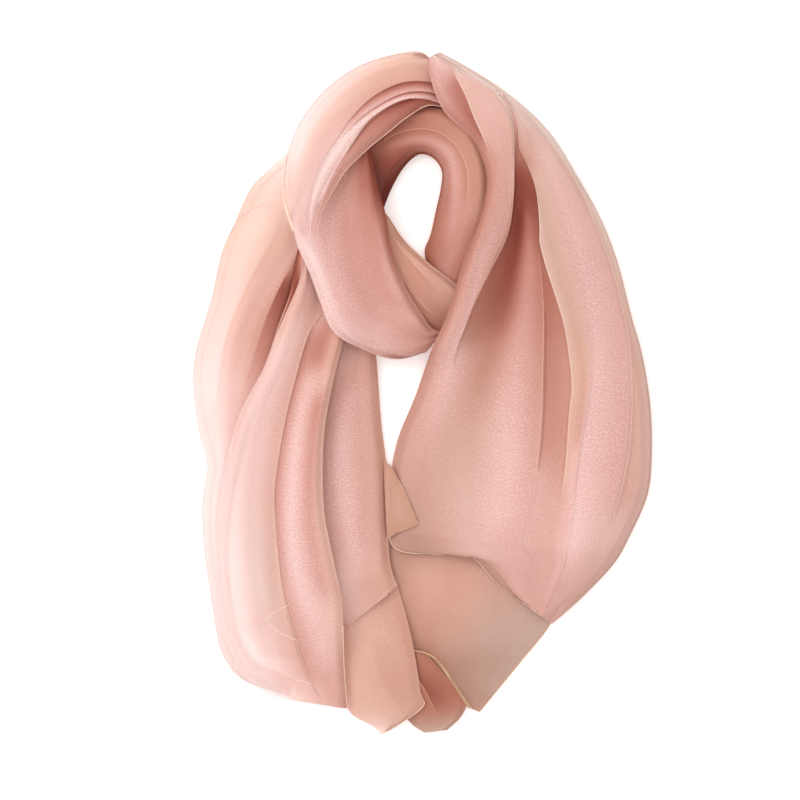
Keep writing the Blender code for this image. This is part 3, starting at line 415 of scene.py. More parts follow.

# the sheets between the outer ones and the surface, seen through them; their dark tones are partly the
# deeper colour of more layers and partly painted shade under the folds above
innerRight = {
    "node": "under_layers",
    "turned": (8, 0),
    "rows": [(6, 306, 30, 312), (40, 268, 100, 266), (66, 230, 136, 226), (70, 180, 158, 178),
        (58, 130, 176, 128), (44, 80, 192, 74), (36, 40, 204, 36), (34, -10, 212, -16),
        (40, -60, 206, -62), (60, -108, 192, -112), (96, -138, 158, -142)],
    "lines": [
        {"right": [(.4, .5, .1), (.4, .5, 0), (.5, .5, 0), (.5, .5, 0)]},
        {"path": [(96, 226), (100, 130), (96, 40), (90, -60), (110, -130)],
         "left": [(.4, .4, .1), (.3, .4, .8), (.4, .4, .6), (.6, .4, .2), (.6, .4, 0)]},
        {"path": [(120, 226), (146, 130), (156, 40), (150, -60)],
         "left": [(.7, .4, .1), (.5, .4, .7), (.55, .4, .6), (.6, .4, .2), (.6, .4, 0)]},
        {"left": [(.9, .6, 0), (.8, .5, 0), (.7, .4, 0), (.6, .4, 0)]},
    ],
}

innerLeft = {
    "node": "under_layers",
    "turned": (0, 6),
    "rows": [(-112, 190, -66, 170), (-150, 176, -62, 120), (-176, 130, -64, 70), (-194, 70, -66, 20),
        (-204, 16, -62, -24), (-206, -30, -58, -60), (-198, -80, -56, -100), (-198, -130, -60, -140),
        (-196, -180, -76, -186), (-188, -226, -98, -232), (-166, -262, -118, -268)],
    "lines": [
        {"right": [(.9, .6, .1), (.92, .2, .05), (.92, .1, 0)]},
        {"path": [(-150, 120), (-168, 20), (-170, -100), (-160, -200)],
         "left": [(.86, .5, .3), (.88, .3, .2), (.9, .2, .05)]},
        {"path": [(-100, 120), (-116, 20), (-120, -100), (-118, -200)],
         "left": [(.3, .4, .9), (.6, .4, .7), (.66, .4, .4)]},
        {"left": [(.2, .5, .9), (.5, .6, .8), (.6, .6, .5)]},
    ],
}

innerLoop = {
    "node": "under_layers",
    "turned": (8, 0),
    "rows": [(-106, 160, -64, 160), (-124, 196, -64, 190), (-118, 236, -56, 214), (-92, 276, -34, 240),
        (-52, 304, -10, 256), (-6, 312, 10, 258), (44, 292, 30, 246)],
    "lines": [
        {"right": [(.9, .6, .1), (.9, .6, .2), (.9, .6, .3)]},
        {"path": [(-94, 190), (-86, 230), (-50, 276), (0, 286)], "left": [(.4, .5, .8)]},
        {"left": [(.1, .4, .9), (.2, .5, .9), (.3, .5, .9)]},
    ],
}


# the value at a share of the way on a smooth curve through values
def curveThrough(values, share):
    last = len(values) - 1
    if last == 0:
        return values[0]
    at = min(max(share, 0.0), 1.0) * last
    i = min(int(at), last - 1)
    t = at - i
    a, b = values[max(i - 1, 0)], values[i]
    c, d = values[i + 1], values[min(i + 2, last)]
    return b + 0.5 * t * (c - a + t * (2 * a - 5 * b + 4 * c - d + t * (3 * (b - c) + d - a)))


def smoothPath(points, steps=12):
    count = (len(points) - 1) * steps
    xs, ys = zip(*points)
    return [(curveThrough(xs, k / count), curveThrough(ys, k / count)) for k in range(count + 1)]


def eased(t):
    t = numpy.clip(t, 0, 1)
    return t * t * (3 - 2 * t)


def treeOf(obj):
    mesh = obj.data
    points = [obj.matrix_world @ v.co for v in mesh.vertices]
    return BVHTree.FromPolygons(points, [tuple(p.vertices) for p in mesh.polygons])


# the height of the top of a tree at a place, or None beside it
def topHeight(tree, x, y):
    hit = tree.ray_cast(Vector((x, y, 1)), Vector((0, 0, -1)))[0]
    return None if hit is None else hit.z


def linked(name, data):
    obj = bpy.data.objects.new(name, data)
    bpy.context.scene.collection.objects.link(obj)
    return obj


def middlesOf(rows):
    return [((r[0] + r[2]) / 2, (r[1] + r[3]) / 2) for r in rows]


# where a fold crosses each row of a sheet, as a share of the way across, and how strong it is there
def crossings(path, rows):
    points = smoothPath(path)
    shares = numpy.full(len(rows), numpy.nan)
    for i, (leftX, leftY, rightX, rightY) in enumerate(rows):
        acrossX, acrossY = rightX - leftX, rightY - leftY
        squared = acrossX**2 + acrossY**2
        found = []
        sides = [(x - leftX) * acrossY - (y - leftY) * acrossX for x, y in points]
        for k in range(len(points) - 1):
            if sides[k] * sides[k + 1] > 0 or sides[k] == sides[k + 1]:
                continue
            t = sides[k] / (sides[k] - sides[k + 1])
            x = points[k][0] + t * (points[k + 1][0] - points[k][0])
            y = points[k][1] + t * (points[k + 1][1] - points[k][1])
            share = ((x - leftX) * acrossX + (y - leftY) * acrossY) / squared
            if -cloth["beside"] < share < 1 + cloth["beside"]:
                found.append(share)
        if found:
            before = shares[:i][~numpy.isnan(shares[:i])]
            near = before[-1] if len(before) else 0.5
            shares[i] = min(found, key=lambda s: abs(s - near))
    known = numpy.flatnonzero(~numpy.isnan(shares))
    found = shares[known]
    for _ in range(cloth["pathPasses"]):
        found[1:-1] = 0.5 * found[1:-1] + 0.25 * (found[:-2] + found[2:])
    steps = numpy.diff(numpy.array(middlesOf(rows)), axis=0)
    lengths = numpy.concatenate([[0], numpy.cumsum(numpy.hypot(*steps.T))])
    first, last = known[0], known[-1]
    strength = numpy.ones(len(rows))
    if first > 0:
        strength *= eased((lengths - lengths[first]) / cloth["fade"])
    if last < len(rows) - 1:
        strength *= eased((lengths[last] - lengths) / cloth["fade"])
    return numpy.interp(range(len(rows)), known, found), strength


# the crossings and strengths of all of a sheet's lines, kept apart and in their order
def foldPlaces(lines, rows, widths):
    count = len(rows)
    middle = [crossings(line["path"], rows) for line in lines[1:-1]]
    shares = [numpy.zeros(count)] + [share for share, _ in middle] + [numpy.ones(count)]
    strengths = [numpy.ones(count)] + [strength for _, strength in middle] + [numpy.ones(count)]
    room = cloth["leastRoom"] / widths
    for k in range(1, len(lines) - 1):
        shares[k] = numpy.maximum(shares[k], shares[k - 1] + room)
    for k in range(len(lines) - 2, 0, -1):
        shares[k] = numpy.minimum(shares[k], shares[k + 1] - room)
    return shares, strengths


# the tones on the two sides of each line, which turn into those around a fold where it dies away
def foldTones(lines, along, shares, strengths):
    def tonesAt(stops):
        columns = list(zip(*[(*s, 0.0)[:4] for s in stops]))
        return numpy.array([[curveThrough(column, v) for column in columns] for v in along])

    lefts = [tonesAt(line["left" if "left" in line else "right"]) for line in lines]
    rights = [tonesAt(line["right"]) if "right" in line else lefts[k] for k, line in enumerate(lines)]
    for k in range(1, len(lines) - 1):
        between = (shares[k] - shares[k - 1]) / (shares[k + 1] - shares[k - 1])
        plain = rights[k - 1] + (lefts[k + 1] - rights[k - 1]) * between[:, None]
        weight = strengths[k][:, None]
        lefts[k] = plain + (lefts[k] - plain) * weight
        rights[k] = plain + (rights[k] - plain) * weight
    return lefts, rights


# the rows, shares, heights and tones of a sheet, with columns of points along and between its folds
def foldedGrid(piece):
    table, lines = piece["rows"], piece["lines"]
    middles = middlesOf(table)
    length = sum(math.dist(a, b) for a, b in zip(middles, middles[1:]))
    along = numpy.linspace(0, 1, max(cloth["fewestRows"], round(length / cloth["gridStep"])) + 1)
    rows = numpy.array([[curveThrough(column, v) for column in zip(*table)] for v in along])
    widths = numpy.hypot(rows[:, 2] - rows[:, 0], rows[:, 3] - rows[:, 1])
    shares, strengths = foldPlaces(lines, rows, widths)
    lefts, rights = foldTones(lines, along, shares, strengths)
    drops = [line.get("step", 0) * strength for line, strength in zip(lines, strengths)]
    last = len(lines) - 1
    crispHalf = cloth["crispHalf"]
    columns = []  # share, height over the plain sheet, tone
    for k in range(last):
        gap = shares[k + 1] - shares[k]
        count = max(2, round(float((gap * widths).max()) / cloth["gridStep"]))
        places = [(t / count, 0.0) for t in range(count + (1 if k == last - 1 else 0))]
        if "step" in lines[k] or k == 0:
            places += [(0.0, crispHalf), (0.0, 3 * crispHalf)]
        if "step" in lines[k + 1] or k == last - 1:
            places += [(1.0, -crispHalf), (1.0, -3 * crispHalf)]
        placed = []
        for t, offset in places:
            step = numpy.clip(offset / widths, -cloth["crispMost"] * gap, cloth["crispMost"] * gap)
            placed.append((t, offset, shares[k] + gap * t + step))
        placed.sort(key=lambda p: (float(p[2].mean()), p[1]))
        for t, offset, share in placed:
            inside = numpy.clip((share - shares[k]) / gap, 0, 1)
            tone = rights[k] + (lefts[k + 1] - rights[k]) * eased(inside)[:, None]
            height = -0.5 * drops[k] * (1 - inside) ** 2 + 0.5 * drops[k + 1] * inside**2
            height += lines[k].get("roll", 0) * numpy.sin(math.pi * inside) ** 2
            if t == 0.0 and offset == 0.0 and k > 0:
                height = 0 * share
            line = None  # the crisp fold that this column belongs to
            if t == 0.0 and offset < 2 * crispHalf and "step" in lines[k]:
                line, higher = k, lines[k]["step"] < 0
            elif t == 1.0 and offset > -2 * crispHalf and "step" in lines[k + 1]:
                line, higher = k + 1, lines[k + 1]["step"] > 0
            # the higher side of a crisp fold, and its very line, take the crest's painted highlight
            if line is not None and (higher or offset == 0.0):
                crestHighlight = numpy.maximum(lefts[line], rights[line]) + numpy.array(cloth["crestHighlight"])
                tone = tone + (crestHighlight - tone) * strengths[line][:, None]
            columns.append((share, height, tone))
    columns.sort(key=lambda c: float(c[0].mean()))
    share, height, tone = [numpy.stack(parts, axis=1) for parts in zip(*columns)]
    return rows, along * length, widths, numpy.maximum.accumulate(share, axis=1), height, tone


# values on a grid, evened out along one axis after the other
def blurred(values, passes, axes=(0, 1)):
    for axis in axes:
        for _ in range(passes):
            padded = numpy.pad(values, [(1, 1) if a == axis else (0, 0) for a in (0, 1)], mode="edge")
            ends = (padded[:-2], padded[2:]) if axis == 0 else (padded[:, :-2], padded[:, 2:])
            values = 0.5 * values + 0.25 * (ends[0] + ends[1])
    return values


# gives two ways to read how high a node of the frame is: as it stands, and evened out
def nodeHeights(node):
    tree = treeOf(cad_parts[node])
    low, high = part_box(node)
    step, margin = cloth["fieldStep"] * mm, cloth["fieldMargin"]
    lowX, lowY = low[0] - margin * step, low[1] - margin * step
    countX = int((high[0] - lowX) / step) + margin + 1
    countY = int((high[1] - lowY) / step) + margin + 1
    raw = numpy.zeros((countX, countY))
    known = numpy.zeros((countX, countY))
    for i, k in numpy.ndindex(raw.shape):
        height = topHeight(tree, lowX + i * step, lowY + k * step)
        if height is not None:
            raw[i, k] = height
            known[i, k] = 1
    passes = round(2 * (cloth["softened"] * mm / step) ** 2)
    field = blurred(raw * known, passes) / numpy.maximum(blurred(known, passes), 1e-9)

    def smoothAt(x, y):
        u = numpy.clip((x - lowX) / step, 0, countX - 1.001)
        v = numpy.clip((y - lowY) / step, 0, countY - 1.001)
        i, k = u.astype(int), v.astype(int)
        u, v = u - i, v - k
        below = field[i, k] * (1 - v) + field[i, k + 1] * v
        above = field[i + 1, k] * (1 - v) + field[i + 1, k + 1] * v
        return below * (1 - u) + above * u

    def exactAt(x, y):
        z = numpy.zeros(x.shape)
        for index in numpy.ndindex(x.shape):
            height = topHeight(tree, x[index], y[index])
            if height is None:  # outside the solid, so as high as its rim beside it
                level = float(smoothAt(x[index], y[index]))
                height = tree.find_nearest(Vector((x[index], y[index], level)))[0].z
            z[index] = height
        return blurred(z, cloth["facetPasses"], axes=(0,))

    return exactAt, smoothAt


laid = {}  # the trees and edges of the sheets made so far, by name
heightCache = {}


# the lift that keeps a sheet clear of every sheet under it
def liftOver(x, y, z, need):
    floor = numpy.full(x.shape, -1.0)
    for index in numpy.ndindex(x.shape):
        for sheet in laid.values():
            height = topHeight(sheet["tree"], x[index], y[index])
            if height is not None and height > floor[index]:
                floor[index] = height
    short = numpy.clip(floor + need - z, 0, None)
    raised = short
    for _ in range(cloth["liftPasses"]):
        for axis in (0, 1):
            after = numpy.roll(raised, 1, axis)
            before = numpy.roll(raised, -1, axis)
            if axis:
                after[:, 0], before[:, -1] = 0, 0
            else:
                after[0], before[-1] = 0, 0
            raised = numpy.maximum(raised, cloth["liftKept"] * numpy.maximum(after, before))
    return numpy.maximum(raised, short)


# the places at some shares of the way across the rows, in metres
def across(rows, share):
    return [(rows[:, c:c + 1] + (rows[:, c + 2:c + 3] - rows[:, c:c + 1]) * share) * mm for c in (0, 1)]


# one stretch of organza on the form of its node, laid on the sheets under it
def makeSheet(name, piece, material):
    rows, along, widths, share, height, tone = foldedGrid(piece)
    wide = widths[:, None]
    x, y = across(rows, share)
    node = piece["node"]
    if node not in heightCache:
        heightCache[node] = nodeHeights(node)
    exactAt, smoothAt = heightCache[node]
    inset = across(rows, numpy.clip(share, cloth["rimInset"] / wide, 1 - cloth["rimInset"] / wide))
    for places in inset:
        places[0], places[-1] = places[1], places[-2]
    raw, smooth = exactAt(*inset), smoothAt(x, y)
    fromEdge = numpy.minimum(share, 1 - share) * wide
    start, end = cloth["rimKept"]
    z = raw + (smooth - raw) * eased((fromEdge - start) / (end - start))
    z = z + height * mm * eased(fromEdge / cloth["easedIn"])
    turned = piece["turned"]
    under = cloth["turnedUnder"] * mm * ((share * wide < turned[0]) | ((1 - share) * wide < turned[1]))
    z = numpy.maximum(z, cloth["lowest"] * mm + under)
    z = z + liftOver(x, y, z, (cloth["clearance"] + cloth["thickness"]) * mm + under)
    grid = numpy.stack((x, y, z), axis=2)
    mesh = sheetMesh(name, turned, grid, share, widths, along, tone)
    obj = linked(name, mesh)
    mesh.materials.append(material)
    mesh.shade_smooth()
    edges = {"left": grid[:, 0], "right": grid[:, -1], "end": grid[-1]}
    laid[name] = {side: [Vector(p) for p in points] for side, points in edges.items()}
    laid[name]["tree"] = treeOf(obj)
    solid = obj.modifiers.new("thickness", "SOLIDIFY")
    solid.thickness = cloth["thickness"] * mm
    solid.offset = -1
    area = sum(p.area for p in mesh.polygons)
    print(f"{name}: {len(mesh.polygons)} faces, {area:.4f} m2, {widths.max():.0f} by {along[-1]:.0f} mm")
    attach(obj, "root")
    return obj


# the mesh of a sheet, with its edges turned under, its cloth UV map and its tones
def sheetMesh(name, turned, grid, share, widths, along, tone):
    columns = [("left", s * turned[0]) for s in cloth["lip"] if turned[0]]
    columns += [("sheet", k) for k in range(share.shape[1])]
    columns += [("right", s * turned[1]) for s in reversed(cloth["lip"]) if turned[1]]
    points, shades, places = [], [], []
    for i, row in enumerate(grid):
        for kind, value in columns:
            if kind == "sheet":
                at, shade = share[i, value], tone[i, value]
                point = row[value]
            else:
                at = min(value / widths[i], cloth["lipMost"])
                at = at if kind == "left" else 1 - at
                shade = tone[i, 0 if kind == "left" else -1]
                below = cloth["turnedUnder"] * mm * min(1.0, 0.25 + value / 2)  # less at its very rim
                height = max(numpy.interp(at, share[i], row[:, 2]) - below, cloth["thickness"] * mm)
                point = (*(row[0, :2] + (row[-1, :2] - row[0, :2]) * at), height)
            points.append(tuple(point))
            shades.append(shade)
            places.append((at * widths[i] * mm, along[i] * mm))
    width = len(columns)
    faces = [
        (i * width + k, (i + 1) * width + k, (i + 1) * width + k + 1, i * width + k + 1)
        for i in range(len(grid) - 1)
        for k in range(width - 1)
    ]
    mesh = bpy.data.meshes.new(name)
    mesh.from_pydata(points, [], faces)
    if sum(p.normal.z * p.area for p in mesh.polygons) < 0:
        mesh.flip_normals()
    uv = mesh.uv_layers.new(name="cloth")
    colours = mesh.color_attributes.new("tone", "FLOAT_COLOR", "POINT")
    for loop in mesh.loops:
        uv.data[loop.index].uv = places[loop.vertex_index]
    for n, shade in enumerate(shades):
        colours.data[n].color = [float(min(max(c, 0), 1)) for c in shade]
    return mesh


def linear(red, green, blue):
    return tuple(((c / 255 + 0.055) / 1.055) ** 2.4 for c in (red, green, blue)) + (1,)


organzaLook = {
    # painted light from 0 to 1, and the colour there, from its deepest painted shade to its palest painted
    # highlight
    "pink": [
        (0.0, linear(104, 30, 20)), (0.15, linear(146, 68, 54)), (0.33, linear(188, 118, 105)),
        (0.5, linear(216, 157, 148)), (0.7, linear(237, 188, 181)), (0.85, linear(247, 213, 208)),
        (1.0, linear(254, 239, 237)),
    ],
    "peach": [
        (0.0, linear(104, 34, 16)), (0.15, linear(146, 74, 52)), (0.33, linear(188, 122, 96)),
        (0.5, linear(214, 157, 132)), (0.7, linear(234, 187, 165)), (0.85, linear(246, 210, 193)),
        (1.0, linear(254, 233, 221)),
    ],
    "beige": [
        (0.0, linear(100, 56, 40)), (0.15, linear(130, 86, 68)), (0.33, linear(172, 132, 114)),
        (0.5, linear(204, 170, 154)), (0.7, linear(224, 200, 187)), (0.85, linear(238, 220, 210)),
        (1.0, linear(250, 241, 236)),
    ],
    # the colour of the painted glints
    "glint": linear(255, 228, 222),
    "glints": (0.545, 6.0),  # where in the sparkle a painted glint starts, and how fast it grows
    "glintMost": 1.6,
    "paintedSheenStart": (0.42, 1.9),  # the painted light from which a ridge gets painted sheen and glints, and how fast
    "paintedSheenCooling": -0.9,  # less so where it is warm
    "close": (0.78, 8.0),  # the density from which the weave looks close, and how fast
    "grain": (0.12, 0.66),  # of plain cloth, and how much more where it has painted sheen
    "threadShare": 0.25,  # of the grain, the rest being sparkle
    "cloudSize": 24.0,
    "cloudWarmth": 0.4,
    "cloudLight": 0.08,
    "darkened": -0.02,  # all over
    "sheerAlpha": 0.13,
    "denseAlpha": 0.86,
    "sheerFade": 8.0,  # how fast it goes from nothing to one sheer layer
    "weaveAlpha": 0.12,
    "roughness": 0.54,
    "roughSparkle": -0.24,  # where it sparkles
    "bump": (0.30, 0.0004),  # strength, and height in metres
    "sheen": 0.10,
    "sheenRoughness": 0.4,
    "sheenTint": linear(255, 226, 218),
    "gloss": 0.25,
    "sparkleSize": 760.0,  # cells in a metre
    "weftSize": 700.0,
}
hemLook = {
    "twistSize": 800.0,
    "patchSize": 90.0,
    "twist": 0.6,  # how much of the pale colour it brings
    "patches": (0.8, -0.2),  # how much they bring, and how much less all over
    "roughness": 0.3,
    "bump": (0.5, 0.0003),
    "sheen": 0.1,
    "gloss": 0.3,
}


# adds nodes to a tree, each with what goes into its sockets
class Nodes:
    def __init__(self, tree):
        self.tree = tree

    def put(self, node, inputs):
        for name, value in inputs.items():
            if isinstance(value, bpy.types.NodeSocket):
                self.tree.links.new(value, node.inputs[name])
            else:
                node.inputs[name].default_value = value

    def add(self, kind, inputs, **settings):
        node = self.tree.nodes.new(kind)
        for name, value in settings.items():
            setattr(node, name, value)
        self.put(node, inputs)
        return node

    def math(self, operation, *values, clamp=False):
        inputs = dict(enumerate(values))
        return self.add("ShaderNodeMath", inputs, operation=operation, use_clamp=clamp).outputs[0]

    def plus(self, first, second, clamp=False):
        return self.math("ADD", first, second, clamp=clamp)

    def times(self, first, second, clamp=False):
        return self.math("MULTIPLY", first, second, clamp=clamp)

    def timesPlus(self, value, factor, added, clamp=False):
        return self.math("MULTIPLY_ADD", value, factor, added, clamp=clamp)

    # from 0 at a start, growing at a rate, to 1 at most
    def beyond(self, value, start, rate):
        return self.times(self.math("SUBTRACT", value, start), rate, clamp=True)

    def mix(self, factor, first, second):
        return self.add("ShaderNodeMix", {0: factor, 6: first, 7: second}, data_type="RGBA").outputs[2]

    def noise(self, place, scale, detail=2.0):
        inputs = {"Vector": place, "Scale": scale, "Detail": detail}
        return self.add("ShaderNodeTexNoise", inputs).outputs["Fac"]

    def stretched(self, place, scale):
        return self.add("ShaderNodeMapping", {"Vector": place, "Scale": scale}).outputs[0]

    def ramp(self, factor, stops):
        node = self.add("ShaderNodeValToRGB", {0: factor})
        elements = node.color_ramp.elements
        while len(elements) < len(stops):
            elements.new(1.0)
        for element, (place, colour) in zip(elements, stops):
            element.position = place
            element.color = colour
        return node.outputs[0]

    def bump(self, height, strength, distance):
        return self.add(
            "ShaderNodeBump", {"Strength": strength, "Distance": distance, "Height": height},
        ).outputs[0]


def newMaterial(name):
    made = bpy.data.materials.new(name)
    made.use_nodes = True
    return made, Nodes(made.node_tree), made.node_tree.nodes["Principled BSDF"]


# fine sheer cloth whose tones, with their painted light and shade, are painted on its sheets, with a plain
# weave and painted glints on its lit ridges
def organza(name):
    made, nodes, shader = newMaterial(name)
    look = organzaLook
    tone = nodes.add("ShaderNodeAttribute", {}, attribute_name="tone")
    # light is the tone's painted light and shade
    light, warm, dense = nodes.add("ShaderNodeSeparateColor", {0: tone.outputs["Color"]}).outputs
    place = nodes.add("ShaderNodeUVMap", {}, uv_map="cloth").outputs[0]
    warp = nodes.noise(nodes.stretched(place, (1.0, 0.2, 1.0)), look["weftSize"])
    weft = nodes.noise(nodes.stretched(place, (0.2, 1.0, 1.0)), look["weftSize"])
    sparkle = nodes.noise(place, look["sparkleSize"], 1.0)
    clouds = nodes.noise(place, look["cloudSize"], 3.0)
    threads = nodes.times(nodes.plus(warp, weft), 0.5)
    grain = nodes.timesPlus(threads, look["threadShare"], nodes.times(sparkle, 1 - look["threadShare"]))

    warmth = nodes.timesPlus(clouds, look["cloudWarmth"], -0.5 * look["cloudWarmth"])
    warmth = nodes.plus(warmth, warm, clamp=True)
    # painted sheen: where the painted light is high on close cloth, its grain and glints grow stronger
    cooled = nodes.timesPlus(warm, look["paintedSheenCooling"], 1.0, clamp=True)
    paintedSheenMask = nodes.times(nodes.beyond(light, *look["paintedSheenStart"]), cooled)
    paintedSheenMask = nodes.times(paintedSheenMask, nodes.beyond(dense, *look["close"]))
    plain, more = look["grain"]
    strength = nodes.timesPlus(paintedSheenMask, more, plain)
    # the painted light and shade, with the grain and the random clouds added, picks the colour from the
    # ramps
    paintedLightAndGrain = nodes.timesPlus(nodes.math("SUBTRACT", grain, 0.5), strength, look["darkened"])
    paintedLightAndGrain = nodes.plus(paintedLightAndGrain, nodes.timesPlus(clouds, look["cloudLight"], -0.5 * look["cloudLight"]))
    paintedLightAndGrain = nodes.plus(paintedLightAndGrain, light, clamp=True)
    pink, peach, beige = [nodes.ramp(paintedLightAndGrain, look[tint]) for tint in ("pink", "peach", "beige")]
    colour = nodes.mix(tone.outputs["Alpha"], nodes.mix(warmth, pink, peach), beige)
    # painted glints: pale specks mixed into the base colour on ridges with painted sheen
    glint = nodes.beyond(sparkle, *look["glints"])
    glint = nodes.times(glint, nodes.times(paintedSheenMask, look["glintMost"], clamp=True))

    sheer = nodes.times(nodes.times(dense, look["sheerFade"], clamp=True), look["sheerAlpha"])
    alpha = nodes.timesPlus(dense, look["denseAlpha"] - look["sheerAlpha"], sheer)
    weave = nodes.times(nodes.math("SUBTRACT", threads, 0.5), nodes.times(alpha, look["weaveAlpha"]))
    nodes.put(shader, {
        "Base Color": nodes.mix(glint, colour, look["glint"]),
        "Alpha": nodes.plus(alpha, weave, clamp=True),
        "Roughness": nodes.timesPlus(sparkle, look["roughSparkle"], look["roughness"]),
        "Normal": nodes.bump(grain, *look["bump"]),
        "Sheen Weight": look["sheen"],
        "Sheen Roughness": look["sheenRoughness"],
        "Sheen Tint": look["sheenTint"],
        "Specular IOR Level": look["gloss"],
    })
    return made


# a rolled edge and its thread
def hemThread(name, dark, pale):
    made, nodes, shader = newMaterial(name)
    place = nodes.add("ShaderNodeTexCoord", {}).outputs["Object"]
    twist = nodes.noise(place, hemLook["twistSize"])
    patches = nodes.timesPlus(nodes.noise(place, hemLook["patchSize"]), *hemLook["patches"])
    nodes.put(shader, {
        "Base Color": nodes.mix(nodes.timesPlus(twist, hemLook["twist"], patches), dark, pale),
        "Roughness": nodes.timesPlus(twist, hemLook["roughness"], hemLook["roughness"]),
        "Normal": nodes.bump(twist, *hemLook["bump"]),
        "Sheen Weight": hemLook["sheen"],
        "Specular IOR Level": hemLook["gloss"],
    })
    return made


wholeCut = (0.70, 2.00)  # m, of which each sheet is the part that shows
sheets = [
    # name, piece, slot, flat width and length and area of its cut in metres, what it lies on
    ("cloth_inner_right", innerRight, "rose_organza", (0.19, 0.49), 0.064, []),
    ("cloth_inner_left", innerLeft, "rose_organza", (0.16, 0.46), 0.062, []),
    ("cloth_inner_loop", innerLoop, "rose_organza", (0.08, 0.23), 0.0165, []),
    ("cloth_right_end", rightEnd, "peach_organza", (0.20, 0.17), 0.024, ["cloth_inner_right"]),
    ("cloth_bottom_fold", bottomFold, "rose_organza", (0.08, 0.10), 0.0063, ["cloth_right_end"]),
    ("cloth_left_sheer", leftSheer, "peach_organza", (0.10, 0.58), 0.042, ["cloth_inner_left"]),
    ("cloth_left_end", leftEnd, "peach_organza", (0.09, 0.16), 0.0125, ["cloth_bottom_fold"]),
    ("cloth_left_front_fold", leftFrontFold, "blush_organza", (0.09, 0.37), 0.029, ["cloth_inner_left"]),
    ("cloth_left_tail", leftTail, "blush_organza", (0.14, 0.50), 0.060, ["cloth_left_sheer"]),
    ("cloth_inner_ring", innerRing, "rose_organza", (0.10, 0.30), 0.025, ["cloth_inner_loop"]),
    ("cloth_loop_underside", loopUnderside, "peach_organza", (0.075, 0.125), 0.0084, ["cloth_inner_ring"]),
    ("cloth_loop_front", loopFront, "blush_organza", (0.12, 0.26), 0.029, ["cloth_left_tail"]),
    ("cloth_loop_top", loopTop, "blush_organza", (0.13, 0.27), 0.033, ["cloth_loop_front"]),
    ("cloth_right_tail", rightTail, "blush_organza", (0.29, 0.60), 0.136, ["cloth_inner_right"]),
    ("cloth_corner_flap", cornerFlap, "peach_organza", (0.03, 0.08), 0.0015, ["cloth_right_end"]),
]  # lowest first
finishes = {slot: organza(slot) for slot in ("blush_organza", "peach_organza", "rose_organza")}
for name, piece, slot, *_ in sheets:
    makeSheet(name, piece, finishes[slot])
    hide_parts(piece["node"])
shown = sum(area for *_, area, _ in sheets)
print(f"sheets laid: {shown:.2f} of the {wholeCut[0] * wholeCut[1]:.2f} m2 that the scarf is cut to")

hemSizes = {
    "Roll": 0.45 * mm,  # radius of the rolled edge
    "Rings": 1.5 * mm,  # apart
    "Unevenness": 0.35,
    "Thinnest": 0.85,  # of the roll, between its lumps
    "Lumps": 160.0,  # in a metre
    "Stitch spacing": 3.2 * mm,
    "Stitch length": 1.6 * mm,
    "Stitch radius": 0.18 * mm,
    "Seed": 7,
}
stitchLean = (0.7, 0.7, 0.1)  # at most, to each side


# a tree that turns a path into a rolled edge with slanting stitches over it
def hemTree():
    tree = bpy.data.node_groups.new("rolled hem", "GeometryNodeTree")
    kinds = {"Path": "Geometry"} | dict.fromkeys(hemSizes, "Float") | {"Seed": "Int", "Thread": "Material"}
    for label, kind in kinds.items():
        tree.interface.new_socket(label, in_out="INPUT", socket_type="NodeSocket" + kind)
    tree.interface.new_socket("Hem", in_out="OUTPUT", socket_type="NodeSocketGeometry")
    nodes = Nodes(tree)
    add = nodes.add
    given = add("NodeGroupInput", {}).outputs

    place = add("GeometryNodeInputPosition", {}).outputs[0]
    lumps = add("ShaderNodeTexNoise", {"Vector": place, "Scale": given["Lumps"]}).outputs["Fac"]
    thick = nodes.timesPlus(lumps, given["Unevenness"], given["Thinnest"])
    rings = {"Curve": given["Path"], "Length": given["Rings"]}
    even = add("GeometryNodeResampleCurve", rings, mode="LENGTH")
    uneven = add("GeometryNodeSetCurveRadius", {"Curve": even.outputs[0], "Radius": thick})
    circle = add("GeometryNodeCurvePrimitiveCircle", {"Resolution": 7, "Radius": given["Roll"]})
    roll = add("GeometryNodeCurveToMesh", {
        "Curve": uneven.outputs[0], "Profile Curve": circle.outputs["Curve"], "Fill Caps": True,
    })

    stitches = {"Curve": given["Path"], "Length": given["Stitch spacing"]}
    spots = add("GeometryNodeResampleCurve", stitches, mode="LENGTH")
    slant = add("FunctionNodeRandomValue", {"Seed": given["Seed"]}, data_type="FLOAT_VECTOR")
    nodes.put(slant, {"Min": [-lean for lean in stitchLean], "Max": stitchLean})
    along = add("GeometryNodeInputTangent", {}).outputs[0]
    heading = add("ShaderNodeVectorMath", {0: along, 1: slant.outputs["Value"]}, operation="ADD")
    turn = add("FunctionNodeAlignRotationToVector", {"Vector": heading.outputs[0]}, axis="Z")
    stitch = add("GeometryNodeMeshCylinder", {
        "Vertices": 5, "Radius": given["Stitch radius"], "Depth": given["Stitch length"],
    })
    placed = add("GeometryNodeInstanceOnPoints", {
        "Points": spots.outputs[0], "Instance": stitch.outputs["Mesh"], "Rotation": turn.outputs[0],
    })
    above = add("ShaderNodeCombineXYZ", {"Z": given["Roll"]})
    lifted = add("GeometryNodeTranslateInstances", {
        "Instances": placed.outputs[0], "Translation": above.outputs[0], "Local Space": False,
    })

    both = add("GeometryNodeJoinGeometry", {0: roll.outputs[0]})
    nodes.put(both, {0: lifted.outputs[0]})
    real = add("GeometryNodeRealizeInstances", {0: both.outputs[0]})
    finish = add("GeometryNodeSetMaterial", {"Geometry": real.outputs[0], "Material": given["Thread"]})
    add("NodeGroupOutput", {"Hem": finish.outputs[0]})
    return tree


hemNodes = hemTree()


